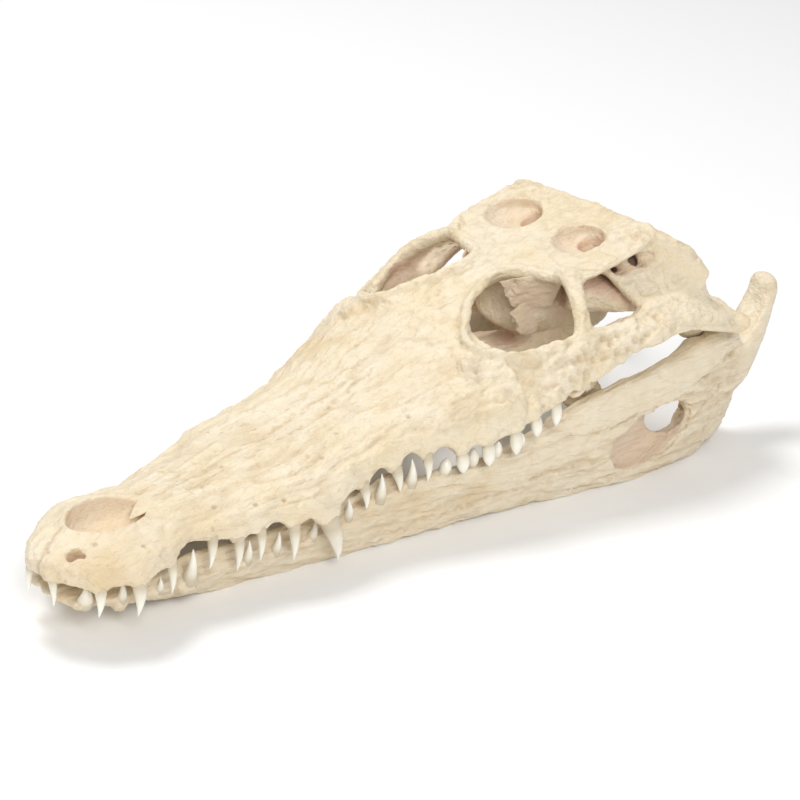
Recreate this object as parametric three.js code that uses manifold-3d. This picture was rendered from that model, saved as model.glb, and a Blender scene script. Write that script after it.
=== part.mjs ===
// Crocodile skull with its lower jaw, life size, lying on the floor with the jaws almost closed.
// Axes: +Z up, the snout points to -Y, +X is the animal's left side.
// Every place and size below is in hundredths of the skull's length, and unit turns it into millimetres.
import * as THREE from "three";
import { mergeVertices } from "three/addons/utils/BufferGeometryUtils.js";
import Module from "manifold-3d";

const wasm = await Module();
wasm.setup();

// Driving dimensions, in millimetres
const skullLength = 420;
const gap = 0.3;
const unit = skullLength / 100;

// Where the nodes part, in hundredths of the skull's length
const snoutEnd = 63.5;
const cheekInside = 11;
const jawMiddleGap = gap / 2 / unit;
const socketGap = 1.3 * gap / unit;

// Materials
const bone = new THREE.MeshStandardMaterial({ color: 0xece0c6, roughness: 0.72, metalness: 0 });
const jawBone = new THREE.MeshStandardMaterial({ color: 0xe6d9bd, roughness: 0.7, metalness: 0 });

// A smooth curve through [place, value] pairs, held level past both ends.
function curve(pairs) {
  const last = pairs.length - 1;
  const slopes = pairs.map((pair, i) => {
    const before = pairs[Math.max(i - 1, 0)];
    const after = pairs[Math.min(i + 1, last)];
    return (after[1] - before[1]) / (after[0] - before[0]);
  });
  return (place) => {
    const at = Math.min(Math.max(place, pairs[0][0]), pairs[last][0]);
    const found = pairs.findIndex((pair, i) => i > 0 && at <= pair[0]);
    const i = Math.max(found, 1) - 1;
    const width = pairs[i + 1][0] - pairs[i][0];
    const t = (at - pairs[i][0]) / width;
    const ease = t * t * (3 - 2 * t);
    const bend = t * (1 - t) * ((1 - t) * slopes[i] - t * slopes[i + 1]) * width;
    return pairs[i][1] + (pairs[i + 1][1] - pairs[i][1]) * ease + bend;
  };
}

function power(value, exponent) {
  return Math.sign(value) * Math.abs(value) ** exponent;
}

// Upper skull seen from above and from the side
const halfWidth = curve([
  [0, 1.4], [0.6, 3.2], [2, 5.3], [4, 7], [6.5, 8.5], [9, 9.2], [12, 9.1], [14.5, 8.2], [17, 7.4], [19.5, 7.7],
  [22, 8.5], [28, 9.9], [32, 11.2], [35.8, 12.2], [40, 11.8], [44, 11.6], [48, 12.1], [52, 13.4], [56, 14.9],
  [60, 16.2], [64, 17.3], [72, 19], [80, 20.5],
]);
const topLine = curve([
  [0, 10.6], [3, 11.9], [8, 12.6], [16, 12.7], [22, 13.1], [30, 14], [40, 15.8], [50, 18.2],
  [60, 21.8], [66, 24.6], [72, 26.4], [79, 28.3], [86, 29.7], [98, 32.2],
]);
const marginLine = curve([
  [0, 9.1], [2, 8.6], [4.2, 7.8], [8.2, 7.8], [11.1, 8.3], [13.8, 7.9], [16.6, 9.2], [20.6, 8.8], [24.2, 8],
  [27.2, 8.1], [29.2, 8.7], [31.5, 8.1], [33.8, 8.8], [36.6, 7.9], [39.3, 9.5], [42.8, 9.8], [45.6, 11.4],
  [48, 10.8], [50, 12.6], [52.4, 11.9], [54, 12.5], [57, 11.8], [62.6, 12.9], [66.4, 14], [71.7, 16.2],
]);

// Teeth of one side, front to back: place along the jaw, length, root radius, lean backwards and,
// where it isn't the usual one, how far the tip leans outwards
const upperTeeth = [
  [0.7, 3.5, 0.65, 0.1], [4.2, 3.4, 0.9, -0.4], [8.4, 4.1, 1.05, -0.3], [14.1, 3.8, 0.75, 0],
  [20.9, 3.6, 0.8, -0.6], [24.4, 4, 0.8, -0.4], [27.4, 3.5, 0.75, -0.2], [31.6, 4.5, 0.9, 0],
  [36.2, 6.2, 1.45, 2.3], [43, 3, 0.85, 0.7], [48.1, 3.2, 0.9, 1.1], [52.4, 3.4, 0.85, 0.3],
  [57.1, 2.9, 1, 0.4], [60.8, 3.2, 1, 0.3], [64.8, 3.5, 0.95, 0.4], [67.9, 2.7, 0.85, 0.3],
  [71.1, 3.1, 0.8, 0],
];
const lowerTeeth = [
  [3.7, 2.2, 0.95, 0.2], [8.6, 2.4, 0.75, -0.3], [14.4, 1.5, 0.6, -0.2], [17.6, 4.3, 1, 0, 0.8],
  [27.4, 2.8, 0.75, 0], [31.4, 2.5, 0.75, 0.4], [36.7, 2.1, 0.8, 0.3], [42.2, 2.6, 0.8, -0.4], [46.8, 3.6, 0.95, -0.2],
  [51.4, 3.6, 1, -0.3], [56.4, 2, 0.9, 0.6], [61.2, 2.5, 0.85, -0.4], [64.9, 2.2, 0.75, -0.3],
  [68.4, 1.8, 0.7, 0],
];

// The fourth lower tooth stands in a notch beside the snout, and the right one is the longer.
const rightFourthTooth = [17.6, 6, 1, 0.4, 1.6];

// Lower jaw, one side: outer edge at the top and bottom, inner face, upper and lower edge
const jawTopOuter = curve([
  [1.9, 2.2], [3, 4], [5, 5.2], [8.4, 6.1], [13.5, 6], [17.6, 7.8], [20.5, 6.9], [25, 7.3], [34.5, 9],
  [45, 10.9], [60, 13.9], [80, 18.1], [92, 20], [100, 20.7], [106, 20.6], [110, 20.2],
]);
const jawBottomOuter = curve([
  [1.9, 1.5], [6, 3], [10, 3.7], [15, 4.4], [25, 6], [35, 7.9], [60, 13.6], [75, 17.3], [88, 20.6],
  [98, 21.5], [104, 21.2], [110, 19.6],
]);
const jawInner = curve([
  [1.9, jawMiddleGap], [12, jawMiddleGap], [14, 0.5], [17, 1.7], [22, 3.2], [30, 5.4], [40, 7.9], [50, 9.9],
  [60, 11.6], [70, 13.2], [80, 14.7], [90, 16.2], [98, 16], [103, 14.6], [110, 14.2],
]);
const jawTop = curve([
  [1.9, 5], [3, 5.4], [8, 4.8], [14, 4], [18, 4.6], [22, 3.9], [28, 3.7], [34, 4.2], [38, 4.7], [42, 5.8],
  [47, 7.2], [52, 8.2], [60, 8.4], [65, 8.9], [71, 10.4], [74, 12], [80, 14], [88, 15.6], [96, 16.6],
  [102, 17.2], [110, 16.4],
]);
const jawBottom = curve([
  [1.9, 4.5], [4, 4.1], [6, 3.3], [9, 2.2], [13, 1.3], [18, 0.6], [25, -0.3], [40, -0.4], [55, 0], [70, 0.1],
  [78, -0.2], [88, -0.6], [98, -0.6], [103, -0.1], [107, 1.2], [110, 3],
]);

// Turns a geometry's faces outwards and keeps only its corners.
function outward(geometry) {
  geometry.deleteAttribute("normal");
  geometry.deleteAttribute("uv");
  const merged = mergeVertices(geometry, 1e-4);
  const corners = merged.getAttribute("position");
  const index = merged.getIndex();
  const [a, b, c] = [new THREE.Vector3(), new THREE.Vector3(), new THREE.Vector3()];
  let volume = 0;
  for (let i = 0; i < index.count; i += 3) {
    a.fromBufferAttribute(corners, index.getX(i));
    b.fromBufferAttribute(corners, index.getX(i + 1));
    c.fromBufferAttribute(corners, index.getX(i + 2));
    volume += a.dot(b.cross(c));
  }
  if (volume < 0) {
    index.array.reverse();
  }
  return merged;
}

// The same shape on the animal's right side.
function mirrored(geometry) {
  return outward(geometry.clone().scale(-1, 1, 1));
}

function bothSides(geometries) {
  return [...geometries, ...geometries.map(mirrored)];
}

// A closed shape whose corners are placed by their turn round it and their way along it, both ends flat.
function loft(sides, steps, place) {
  const geometry = new THREE.CylinderGeometry(1, 1, 1, sides, steps);
  const corners = geometry.getAttribute("position");
  for (let i = 0; i < corners.count; i += 1) {
    const along = 0.5 - corners.getY(i);
    const reach = Math.hypot(corners.getX(i), corners.getZ(i));
    const turn = Math.atan2(corners.getX(i), corners.getZ(i));
    let point = place(turn, along);
    if (reach < 0.5) {
      point = place(0, along).lerp(place(Math.PI, along), 0.5);
    }
    corners.setXYZ(i, point.x, point.y, point.z);
  }
  return outward(geometry.scale(unit, unit, unit));
}

function ball(centre, radii, sides = 12, tilt = 0) {
  const geometry = new THREE.SphereGeometry(1, sides, Math.round(sides * 0.6)).scale(...radii);
  return outward(geometry.rotateX(tilt).translate(...centre).scale(unit, unit, unit));
}

// A bone that follows a path: wide and tall are [way along, half size] pairs, lie is the tall direction.
function limb(path, { wide, tall, lie = [0, 0, 1], sides = 8, steps = 6, square = 0.8 }) {
  const route = new THREE.CatmullRomCurve3(path.map((point) => new THREE.Vector3(...point)));
  const [wideAt, tallAt] = [curve(wide), curve(tall)];
  const upright = new THREE.Vector3(...lie);
  return loft(sides, steps, (turn, along) => {
    const tangent = route.getTangent(along);
    const across = new THREE.Vector3().crossVectors(tangent, upright).normalize();
    const up = new THREE.Vector3().crossVectors(across, tangent);
    return route.getPoint(along)
      .addScaledVector(across, wideAt(along) * power(Math.sin(turn), square))
      .addScaledVector(up, tallAt(along) * power(Math.cos(turn), square));
  });
}

// A plate between two edges of matching points, with its thickness on the inner side.
function plate(lowEdge, highEdge, { thick, sides = 10, steps = 16, square = 0.75 }) {
  const low = new THREE.CatmullRomCurve3(lowEdge.map((point) => new THREE.Vector3(...point)));
  const high = new THREE.CatmullRomCurve3(highEdge.map((point) => new THREE.Vector3(...point)));
  const thickAt = curve(thick);
  return loft(sides, steps, (turn, along) => {
    const [from, to] = [low.getPoint(along), high.getPoint(along)];
    const across = to.clone().sub(from);
    const half = across.length() / 2;
    across.normalize();
    const tangent = low.getTangent(along).add(high.getTangent(along)).normalize();
    const outside = new THREE.Vector3().crossVectors(tangent, across).normalize();
    const depth = thickAt(along) / 2;
    return from.lerp(to, 0.5)
      .addScaledVector(across, half * power(Math.cos(turn), square))
      .addScaledVector(outside, depth * (power(Math.sin(turn), square) - 1));
  });
}

// One tooth: a bent cone from its root, sunk into the bone, to its tip.
function tooth(root, tip, radius) {
  const [sides, steps, tipShare, bulge] = [6, 2, 0.12, 0.9];
  const [base, end] = [new THREE.Vector3(...root), new THREE.Vector3(...tip)];
  const bend = new THREE.Vector3(Math.sign(root[0]) * radius * 0.35, 0, 0);
  return loft(sides, steps, (turn, along) => {
    const size = radius * (tipShare + (1 - tipShare) * (1 - along) ** bulge);
    return base.clone().lerp(end, along)
      .addScaledVector(bend, Math.sin(Math.PI * along))
      .add(new THREE.Vector3(size * Math.sin(turn), size * Math.cos(turn), 0));
  });
}

function toothRow(teeth, side, { centre, level, up, sunk }) {
  const usualSplay = 0.5;
  return teeth.map(([place, length, radius, lean, splay = usualSplay]) => {
    const x = side * centre(place);
    const z = level(place);
    const root = [x, place, z - up * sunk];
    const tip = [x + side * splay, place + lean, z + up * length];
    return tooth(root, tip, radius);
  });
}

function upperToothRow(side, chosen) {
  const inset = 0.85;
  const centre = (place) => halfWidth(place) - inset;
  const teeth = upperTeeth.filter(([place]) => chosen(place));
  return toothRow(teeth, side, { centre, level: marginLine, up: -1, sunk: 1.2 });
}

function lowerToothRow(side) {
  const inset = 1;
  const centre = (place) => jawTopOuter(place) - inset;
  const teeth = side > 0 ? lowerTeeth : lowerTeeth.with(3, rightFourthTooth);
  return toothRow(teeth, side, { centre, level: jawTop, up: 1, sunk: 1 });
}

// Solids
function solid(geometry) {
  const vertProperties = new Float32Array(geometry.getAttribute("position").array);
  const triVerts = new Uint32Array(geometry.getIndex().array);
  return new wasm.Manifold(new wasm.Mesh({ numProp: 3, vertProperties, triVerts }));
}

function join(geometries) {
  return geometries.map(solid).reduce((whole, piece) => whole.add(piece));
}

function cut(body, geometries) {
  return geometries.map(solid).reduce((whole, piece) => whole.subtract(piece), body);
}

// A box between two corners
function block(from, to) {
  const size = to.map((value, i) => value - from[i]);
  const centre = to.map((value, i) => (value + from[i]) / 2);
  return outward(new THREE.BoxGeometry(...size).translate(...centre).scale(unit, unit, unit));
}

function node(name, body, material) {
  const volume = (piece) => piece.volume();
  const largest = body.decompose().reduce((best, piece) => (volume(piece) > volume(best) ? piece : best));
  const { vertProperties, triVerts } = largest.getMesh();
  const geometry = new THREE.BufferGeometry();
  geometry.setAttribute("position", new THREE.BufferAttribute(vertProperties, 3));
  geometry.setIndex(new THREE.BufferAttribute(triVerts, 1));
  const mesh = new THREE.Mesh(geometry, material);
  mesh.name = name;
  return mesh;
}

// The snout's outer form: a low dome over a slightly vaulted palate.
function snoutDome() {
  const shoulder = curve([[0, 0.72], [40, 0.74], [62, 0.88]]);
  const crown = curve([[0, 0.95], [40, 0.95], [62, 1.12]]);
  const [sides, steps, frontCrowding] = [22, 34, 1.2];
  const [from, to] = [0.05, snoutEnd];
  return loft(sides, steps, (turn, along) => {
    const y = from + (to - from) * along ** frontCrowding;
    const [width, top, margin] = [halfWidth(y), topLine(y), marginLine(y)];
    const side = margin + (top - margin) * 0.26;
    const x = width * power(Math.sin(turn), shoulder(y));
    if (Math.cos(turn) >= 0) {
      return new THREE.Vector3(x, y, side + (top - side) * power(Math.cos(turn), crown(y)));
    }
    const vault = 1.1 * Math.max(0, 1 - (x / (0.8 * width)) ** 2);
    return new THREE.Vector3(x, y, side - (side - margin - vault) * power(-Math.cos(turn), 0.35));
  });
}

function nostril() {
  return ball([0, 10.4, 14], [3.9, 5.4, 3.6], 14);
}

function nasalSpike() {
  const path = [[0.2, 18.6, 12.4], [0.3, 15.4, 12.3], [0.5, 12.4, 11.6]];
  return limb(path, { wide: [[0, 1.4], [1, 0.15]], tall: [[0, 0.7], [1, 0.15]], sides: 6, steps: 3 });
}

// Holes through the front of the snout that take the first lower teeth
function firstToothHole() {
  return limb([[3.6, 3.1, 6], [3.3, 2.7, 9.5], [2.9, 2, 14]], {
    wide: [[0, 1.35], [0.45, 1.2], [0.7, 0.8], [1, 0.8]],
    tall: [[0, 1.35], [0.45, 1.2], [0.7, 0.8], [1, 0.8]],
    lie: [0, 1, 0], sides: 8, steps: 4,
  });
}

// Open space between palate and cheek, seen from below
function palateOpening() {
  return ball([7.9, 66, 12], [3.4, 14, 7.5], 12);
}

function snout() {
  const body = join([snoutDome()]).subtract(solid(nostril())).add(solid(nasalSpike()));
  const incisiveHole = ball([0, 5.4, 8.4], [1, 1.5, 1.6], 8);
  const open = cut(body, [...bothSides([firstToothHole(), palateOpening()]), incisiveHole]);
  const behind = block([-30, snoutEnd - gap / unit, -5], [30, 90, 45]);
  const teeth = [1, -1].flatMap((side) => upperToothRow(side, (place) => place < snoutEnd));
  return cut(teeth.reduce((whole, piece) => whole.add(solid(piece)), open), [behind]);
}

// Roof of the skull: the bar between the eyes and the flat table behind them
function roof() {
  const edge = curve([
    [62, 8.2], [64, 7.4], [66, 5.9], [68, 4.6], [71, 3.3], [74, 2.9], [76.5, 3.5], [78, 5], [79, 7.6], [80, 10.6],
    [82, 12], [85, 12.7], [92, 13], [96, 12.7], [98.3, 11.8],
  ]);
  const edgeHeight = curve([[62, 22.6], [66, 25], [71, 26.9], [76, 28.2], [80, 28.9], [88, 30.3], [98.3, 32.2]]);
  const thick = curve([[62, 2.6], [72, 2.4], [80, 2.2], [98.3, 2]]);
  return loft(14, 20, (turn, along) => {
    const y = 62 + 36.3 * along;
    const x = edge(y) * power(Math.sin(turn), 0.6);
    const surface = topLine(y) - 0.3 + (edgeHeight(y) - topLine(y) + 0.3) * (x / edge(y)) ** 2;
    return new THREE.Vector3(x, y, surface - thick(y) / 2 + (thick(y) / 2) * power(Math.cos(turn), 0.5));
  });
}

// Holes in the table, over the braincase's sloping sides
function tableHole() {
  return ball([5, 88.6, 30.6], [3, 4, 3.2], 12);
}

// The cheek bar from the snout to the jaw joint, under the eye and the opening behind it
function cheekPlate() {
  const margin = [
    [16.4, 60, 12.6], [17.8, 66, 14], [19, 71.7, 16.2], [19.8, 75.6, 17.7], [20.6, 81, 18.6], [21.6, 87.5, 21],
    [22.4, 94, 21.6], [22.8, 100, 20.4], [22.6, 106.3, 19.2],
  ];
  const rim = [
    [11, 60, 23.2], [12.2, 65.6, 22.4], [14.2, 70, 22.7], [15.8, 74.4, 23.6], [17.1, 80.5, 24.1],
    [17.7, 86.5, 24.4], [16.2, 92, 25.2], [16.6, 99, 24.2], [18.8, 106.3, 20.7],
  ];
  return plate(margin, rim, { thick: [[0, 3], [0.25, 2.2], [0.7, 2.1], [1, 2.6]], sides: 10, steps: 18 });
}

// The pillar behind the eye, from the table down to the cheek bar
function eyePillar() {
  return limb([[9.4, 81.4, 28.4], [11.6, 80.6, 27], [14, 79.3, 25.2], [16.6, 78, 21.6]], {
    wide: [[0, 2], [0.35, 1.3], [0.7, 1.3], [1, 1.8]],
    tall: [[0, 1.2], [0.35, 1], [0.7, 1], [1, 1.3]],
    lie: [1, 0, 0.6], sides: 8, steps: 5,
  });
}

// The bone that carries the jaw joint, with its two knuckles
function jointShaft(swell = 0) {
  return limb([[5, 87, 23.5], [9.5, 92.5, 22.8], [14, 99, 21.8], [18.6, 106.4, 19.3]], {
    wide: [[0, 4 + swell], [0.5, 3.6 + swell], [1, 4.1 + swell]],
    tall: [[0, 2.6 + swell], [0.5, 1.7 + swell], [1, 1.5 + swell]],
    sides: 10, steps: 7,
  });
}

function knuckles(swell = 0) {
  const places = [[21, 106.3, 19], [16.4, 106.6, 18.2]];
  const radii = [2, 1.5, 1.5].map((radius) => radius + swell);
  return places.map((place) => ball(place, radii, 10));
}

// The wall between the table's edge and the joint bone, behind the ear opening
function earWall() {
  return plate(
    [[11, 88, 25.2], [13.2, 92.6, 25], [15, 98, 24.2], [16.8, 102.6, 23.2]],
    [[9.4, 87, 28.8], [10.2, 92, 29.4], [11.6, 97, 30], [16, 102.4, 25.8]],
    { thick: [[0, 3], [1, 2]], steps: 8 },
  );
}

// The ear opening is a hollow under the table's edge.
function earHollow() {
  return ball([12.6, 91.5, 27], [2, 3.2, 1.5], 10);
}

// The prong from the table's rear corner down to the joint bone
function rearProng() {
  return limb([[8, 95.5, 30.4], [12, 97.8, 29.4], [14.6, 100.6, 27.3], [16.6, 102.9, 24.4]], {
    wide: [[0, 1.6], [1, 1.1]], tall: [[0, 1.5], [0.5, 2], [1, 1.6]], steps: 6,
  });
}

function braincase() {
  const box = limb([[0, 79.4, 23.6], [0, 84, 23], [0, 91, 22.6], [0, 98, 22.4]], {
    wide: [[0, 7.4], [0.25, 5.4], [0.6, 4.6], [1, 6.5]], tall: [[0, 5], [0.3, 6.6], [1, 8.6]], sides: 12,
  });
  const backWall = limb([[-16, 101, 23.8], [-9, 97.6, 25], [0, 96.6, 25.6], [9, 97.6, 25], [16, 101, 23.8]], {
    wide: [[0, 0.9], [0.5, 1.5], [1, 0.9]], tall: [[0, 1.6], [0.5, 5.6], [1, 1.6]], sides: 8, steps: 8,
  });
  const base = limb([[0, 88, 14.6], [0, 97.6, 15.6]], {
    wide: [[0, 3], [1, 3.6]], tall: [[0, 2.6], [1, 3.6]],
  });
  const neckKnob = ball([0, 99.4, 19], [1.9, 2, 1.6], 8);
  return [box, backWall, base, neckKnob];
}

function spinalHole() {
  return ball([0, 98.8, 22.3], [1.4, 2, 1.1], 8);
}

// The palate's middle bar, its wings and the struts that tie them to the cheeks
function palateBar() {
  return limb([[0, 58, 14.4], [0, 68, 13.8], [0, 78, 13.6], [0, 90, 13.6]], {
    wide: [[0, 4.6], [0.4, 3], [0.7, 3.2], [1, 4.4]], tall: [[0, 2.4], [0.5, 2.2], [1, 2.4]], steps: 6,
  });
}

function palateWing() {
  return limb([[0, 84.5, 13.6], [6, 84.6, 12.4], [10.5, 85.4, 10.6], [13.6, 86.6, 8.6]], {
    wide: [[0, 6], [0.5, 5.2], [1, 3.2]], tall: [[0, 0.9], [0.6, 0.7], [1, 1.2]], steps: 8,
  });
}

function cheekStrut() {
  return limb([[17.4, 75.4, 17.4], [15.7, 79.6, 16], [13.6, 84, 13], [12.8, 86.8, 9.6]], {
    wide: [[0, 2.2], [0.4, 1.4], [1, 1.5]], tall: [[0, 1.4], [0.5, 1], [1, 0.9]], lie: [1, 0, 0], steps: 6,
  });
}

// Rear of the skull in one piece; the cheeks are then parted from it by thin cuts.
function skullRear() {
  const middle = [roof(), palateBar(), ...braincase()];
  const sides = [
    cheekPlate(), eyePillar(), rearProng(), palateWing(), cheekStrut(), jointShaft(), earWall(), ...knuckles(),
  ];
  const holes = [...bothSides([tableHole(), earHollow()]), spinalHole()];
  const front = block([-30, 50, -5], [30, snoutEnd, 45]);
  return cut(cut(join([...middle, ...bothSides(sides)]), holes), [front]);
}

// The room of a left cheek: outside its inner planes and under the table's sloping edge
function cheekRoom(margin, side) {
  const [front, frontInside, under, rise, far] = [79, 8.3, 26.3, 0.19, 60];
  const rearBox = new THREE.BoxGeometry(far, far, far).translate(far / 2, 11, -far / 2 + margin);
  rearBox.rotateX(Math.atan(rise)).translate(cheekInside - margin, front, under);
  const frontBox = new THREE.BoxGeometry(far, far, far).translate(far / 2, -far / 2, -far / 2);
  frontBox.translate(frontInside - margin, front + margin, under + margin);
  return join([rearBox, frontBox].map((box) => outward(box.scale(side * unit, unit, unit))));
}

function onSide(side) {
  return (geometry) => (side > 0 ? geometry : mirrored(geometry));
}

function cheek(rear, side) {
  const body = rear.intersect(cheekRoom(0, side));
  const teeth = upperToothRow(side, (place) => place > snoutEnd);
  return teeth.reduce((whole, piece) => whole.add(solid(piece)), body);
}

// One side of the lower jaw in front of the jaw joint
function jawBlade() {
  const [sides, steps, front, rear, square] = [12, 32, 1.9, 110, 0.62];
  return loft(sides, steps, (turn, along) => {
    const y = front + (rear - front) * along ** 1.12;
    const [across, up] = [power(Math.sin(turn), square), power(Math.cos(turn), square)];
    const outer = THREE.MathUtils.lerp(jawBottomOuter(y), jawTopOuter(y), (up + 1) / 2);
    const inner = Math.max(jawInner(y), jawMiddleGap);
    const x = THREE.MathUtils.lerp(inner, outer, (across + 1) / 2);
    return new THREE.Vector3(x, y, THREE.MathUtils.lerp(jawBottom(y), jawTop(y), (up + 1) / 2));
  });
}

// The spur behind the jaw joint, hollowed on its upper face
function jawSpur() {
  const shaft = limb([[17.8, 104, 9], [17.9, 110, 10.6], [17.5, 114.8, 15.4], [17.2, 117.6, 20.6]], {
    wide: [[0, 3.2], [0.5, 2.8], [1, 2.1]], tall: [[0, 5.5], [0.4, 3], [0.8, 1.6], [1, 1.2]],
    lie: [0, -0.6, 0.8], sides: 10, steps: 7,
  });
  return [shaft, ball([17.2, 117.3, 20.4], [2.2, 1.5, 1.9], 10)];
}

function jawSpurHollow() {
  return ball([17.6, 112.2, 18.8], [1.9, 3.4, 2.6], 12);
}

// The long window through the jaw's outer wall and the deep hollow behind it
function jawWindow() {
  return ball([20.5, 89.4, 6.7], [4.5, 7.6, 2.5], 14, 0.3);
}

function jawHollow() {
  return ball([15.6, 91.5, 8.6], [3, 10.5, 4.6], 14);
}

// The socket for the knuckles of the jaw joint
function jointSocket() {
  return [jointShaft(socketGap), ...knuckles(socketGap)];
}

function jaw(side) {
  const place = onSide(side);
  const bones = join([jawBlade(), ...jawSpur()].map(place));
  const openings = [jawWindow(), jawHollow(), jawSpurHollow(), ...jointSocket()].map(place);
  const floor = block([-40, -20, -20], [40, 140, 0]);
  const body = cut(bones, [...openings, floor]);
  return lowerToothRow(side).reduce((whole, piece) => whole.add(solid(piece)), body);
}

const rear = skullRear();
const [leftRoom, rightRoom] = [1, -1].map((side) => cheekRoom(gap / unit, side));
const skull = new THREE.Group();
skull.add(node("snout", snout(), bone));
skull.add(node("cranium", rear.subtract(leftRoom).subtract(rightRoom), bone));
skull.add(node("cheek_left", cheek(rear, 1), bone));
skull.add(node("cheek_right", cheek(rear, -1), bone));
skull.add(node("mandible_left", jaw(1), jawBone));
skull.add(node("mandible_right", jaw(-1), jawBone));

// The origin is on the floor under the middle of the skull.
const middle = new THREE.Box3().setFromObject(skull).getCenter(new THREE.Vector3());
skull.position.set(-middle.x, -middle.y, 0);

export default skull;
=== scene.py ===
# A crocodile's skull with its lower jaw, life size, lying on the floor with the jaws almost closed.
# +Z is up, the snout points to -Y and +X is the animal's left side.
# Places and sizes are in hundredths of the skull's length; to_metres turns them into the frame.
import math
import bpy
import numpy as np
from mathutils import Matrix, Vector
from mathutils.bvhtree import BVHTree
from mathutils.kdtree import KDTree


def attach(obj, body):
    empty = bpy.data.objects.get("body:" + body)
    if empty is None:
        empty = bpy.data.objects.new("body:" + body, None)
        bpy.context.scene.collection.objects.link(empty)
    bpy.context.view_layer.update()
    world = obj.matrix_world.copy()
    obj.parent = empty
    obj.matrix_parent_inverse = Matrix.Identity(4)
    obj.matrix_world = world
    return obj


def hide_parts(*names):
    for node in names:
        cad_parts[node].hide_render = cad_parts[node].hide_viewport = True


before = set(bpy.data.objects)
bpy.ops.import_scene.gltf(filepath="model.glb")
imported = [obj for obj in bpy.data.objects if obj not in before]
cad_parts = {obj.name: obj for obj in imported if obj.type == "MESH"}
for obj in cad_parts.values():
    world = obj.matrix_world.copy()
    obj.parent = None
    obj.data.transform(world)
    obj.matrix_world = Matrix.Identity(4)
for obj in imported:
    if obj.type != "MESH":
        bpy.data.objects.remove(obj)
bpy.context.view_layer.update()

# A hundredth of the skull's length, where the snout's tip is and a millimetre, all in metres
UNIT = 0.0042
TIP_Y = -0.249585
MILLIMETRE = 0.001

# Where the pieces part, in hundredths: the snout's rear, the cheeks' inner planes, the room round the jaw's
# joint and half the gap between the two sides of the jaw
SNOUT_END = 63.5
CHEEK_INSIDE = 11
JOINT_ROOM = 0.0936
JAW_MIDDLE = 0.05

# How fine the bone is worked, in metres: first while forms are blended, then for its surface
BLEND_VOXEL = 0.0015
SURFACE_VOXEL = 0.00095

# Corners nearer to each other than this are one, in metres
SAME_PLACE = 0.000005

# How many ways a corner looks out to find how closed in it is, how far, and how far off the bone it starts
LOOKS = 22
LOOK_REACH = 0.07
LOOK_START = 0.0012

# Numbers that scatter the cells of the noise, one for each axis, and then stir the result
SCATTER = (73856093, 19349663, 83492791)
SEED_SCATTER = 2654435
STIRS = ((13, 1274126177), (16, 668265263))


# Curves and paths
def curve(pairs):
    """A smooth curve through (place, value) pairs, held level past both ends."""
    places, values = np.array(pairs, float).T
    last = len(places) - 1
    before = np.maximum(np.arange(last + 1) - 1, 0)
    after = np.minimum(np.arange(last + 1) + 1, last)
    slopes = (values[after] - values[before]) / (places[after] - places[before])

    def value_at(place):
        held = np.clip(place, places[0], places[-1])
        i = np.clip(np.searchsorted(places, held) - 1, 0, last - 1)
        width = places[i + 1] - places[i]
        t = (held - places[i]) / width
        ease = t * t * (3 - 2 * t)
        bend = t * (1 - t) * ((1 - t) * slopes[i] - t * slopes[i + 1]) * width
        return values[i] + (values[i + 1] - values[i]) * ease + bend

    return value_at


def route(path):
    """A smooth line through points, by its share of the way along."""
    ways = np.linspace(0, 1, len(path))
    axes = [curve(list(zip(ways, [point[i] for point in path]))) for i in range(3)]
    return lambda along: np.stack([axis(along) for axis in axes], -1)


def unit_of(vectors):
    return vectors / np.maximum(np.linalg.norm(vectors, axis=-1, keepdims=True), 1e-9)


def power(value, exponent):
    return np.sign(value) * np.abs(value) ** exponent


def blend(low, high, value):
    """0 below low, 1 above high and smooth between."""
    t = np.clip((value - low) / (high - low), 0, 1)
    return t * t * (3 - 2 * t)


def band(low, high, soft, value):
    """1 between low and high, fading out over soft on both sides."""
    return blend(low - soft, low, value) * (1 - blend(high, high + soft, value))


def to_metres(points):
    return np.asarray(points, float) * UNIT + np.array([0, TIP_Y, 0])


def to_hundredths(corners):
    return (corners - np.array([0, TIP_Y, 0])) / UNIT


# The skull's outlines
half_width = curve([
    (0, 1.4), (0.6, 3.2), (2, 5.3), (4, 7), (6.5, 8.5), (9, 9.2), (12, 9.1), (14.5, 8.2), (17, 7.4),
    (19.5, 7.7), (22, 8.5), (28, 9.9), (32, 11.2), (35.8, 12.2), (40, 11.8), (44, 11.6), (48, 12.1),
    (52, 13.4), (56, 14.9), (60, 16.2), (64, 17.3), (72, 19), (80, 20.5),
])
top_line = curve([
    (0, 10.6), (3, 11.9), (8, 12.6), (16, 12.7), (22, 13.1), (30, 14), (40, 15.8), (50, 18.2),
    (60, 21.8), (66, 24.6), (72, 26.4), (79, 28.3), (86, 29.7), (98, 32.2),
])
margin_line = curve([
    (0, 8.5), (2, 8), (4.2, 7.7), (8.2, 7.8), (11.1, 8.3), (13.8, 7.9), (16.6, 9.2), (20.6, 8.8), (24.2, 8),
    (27.2, 8.1), (29.2, 8.7), (31.5, 8.1), (33.8, 8.8), (36.6, 7.9), (39.3, 9.5), (42.8, 9.8), (45.6, 11.4),
    (48, 10.8), (50, 12.6), (52.4, 11.9), (54, 12.5), (57, 11.8), (62.6, 12.9), (66.4, 14), (71.7, 16.2),
])
jaw_top_outer = curve([
    (1.9, 2.2), (3, 4), (5, 5.2), (8.4, 6.1), (13.5, 6), (17.6, 7.8), (20.5, 6.9), (25, 7.3), (34.5, 9),
    (45, 10.9), (60, 13.9), (80, 18.1), (92, 20), (100, 20.7), (106, 20.6), (110, 20.2),
])
jaw_bottom_outer = curve([
    (1.9, 1.5), (6, 3), (10, 3.7), (15, 4.4), (25, 6), (35, 7.9), (60, 13.6), (75, 17.3), (88, 20.6),
    (98, 21.5), (104, 21.2), (110, 19.6),
])
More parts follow.
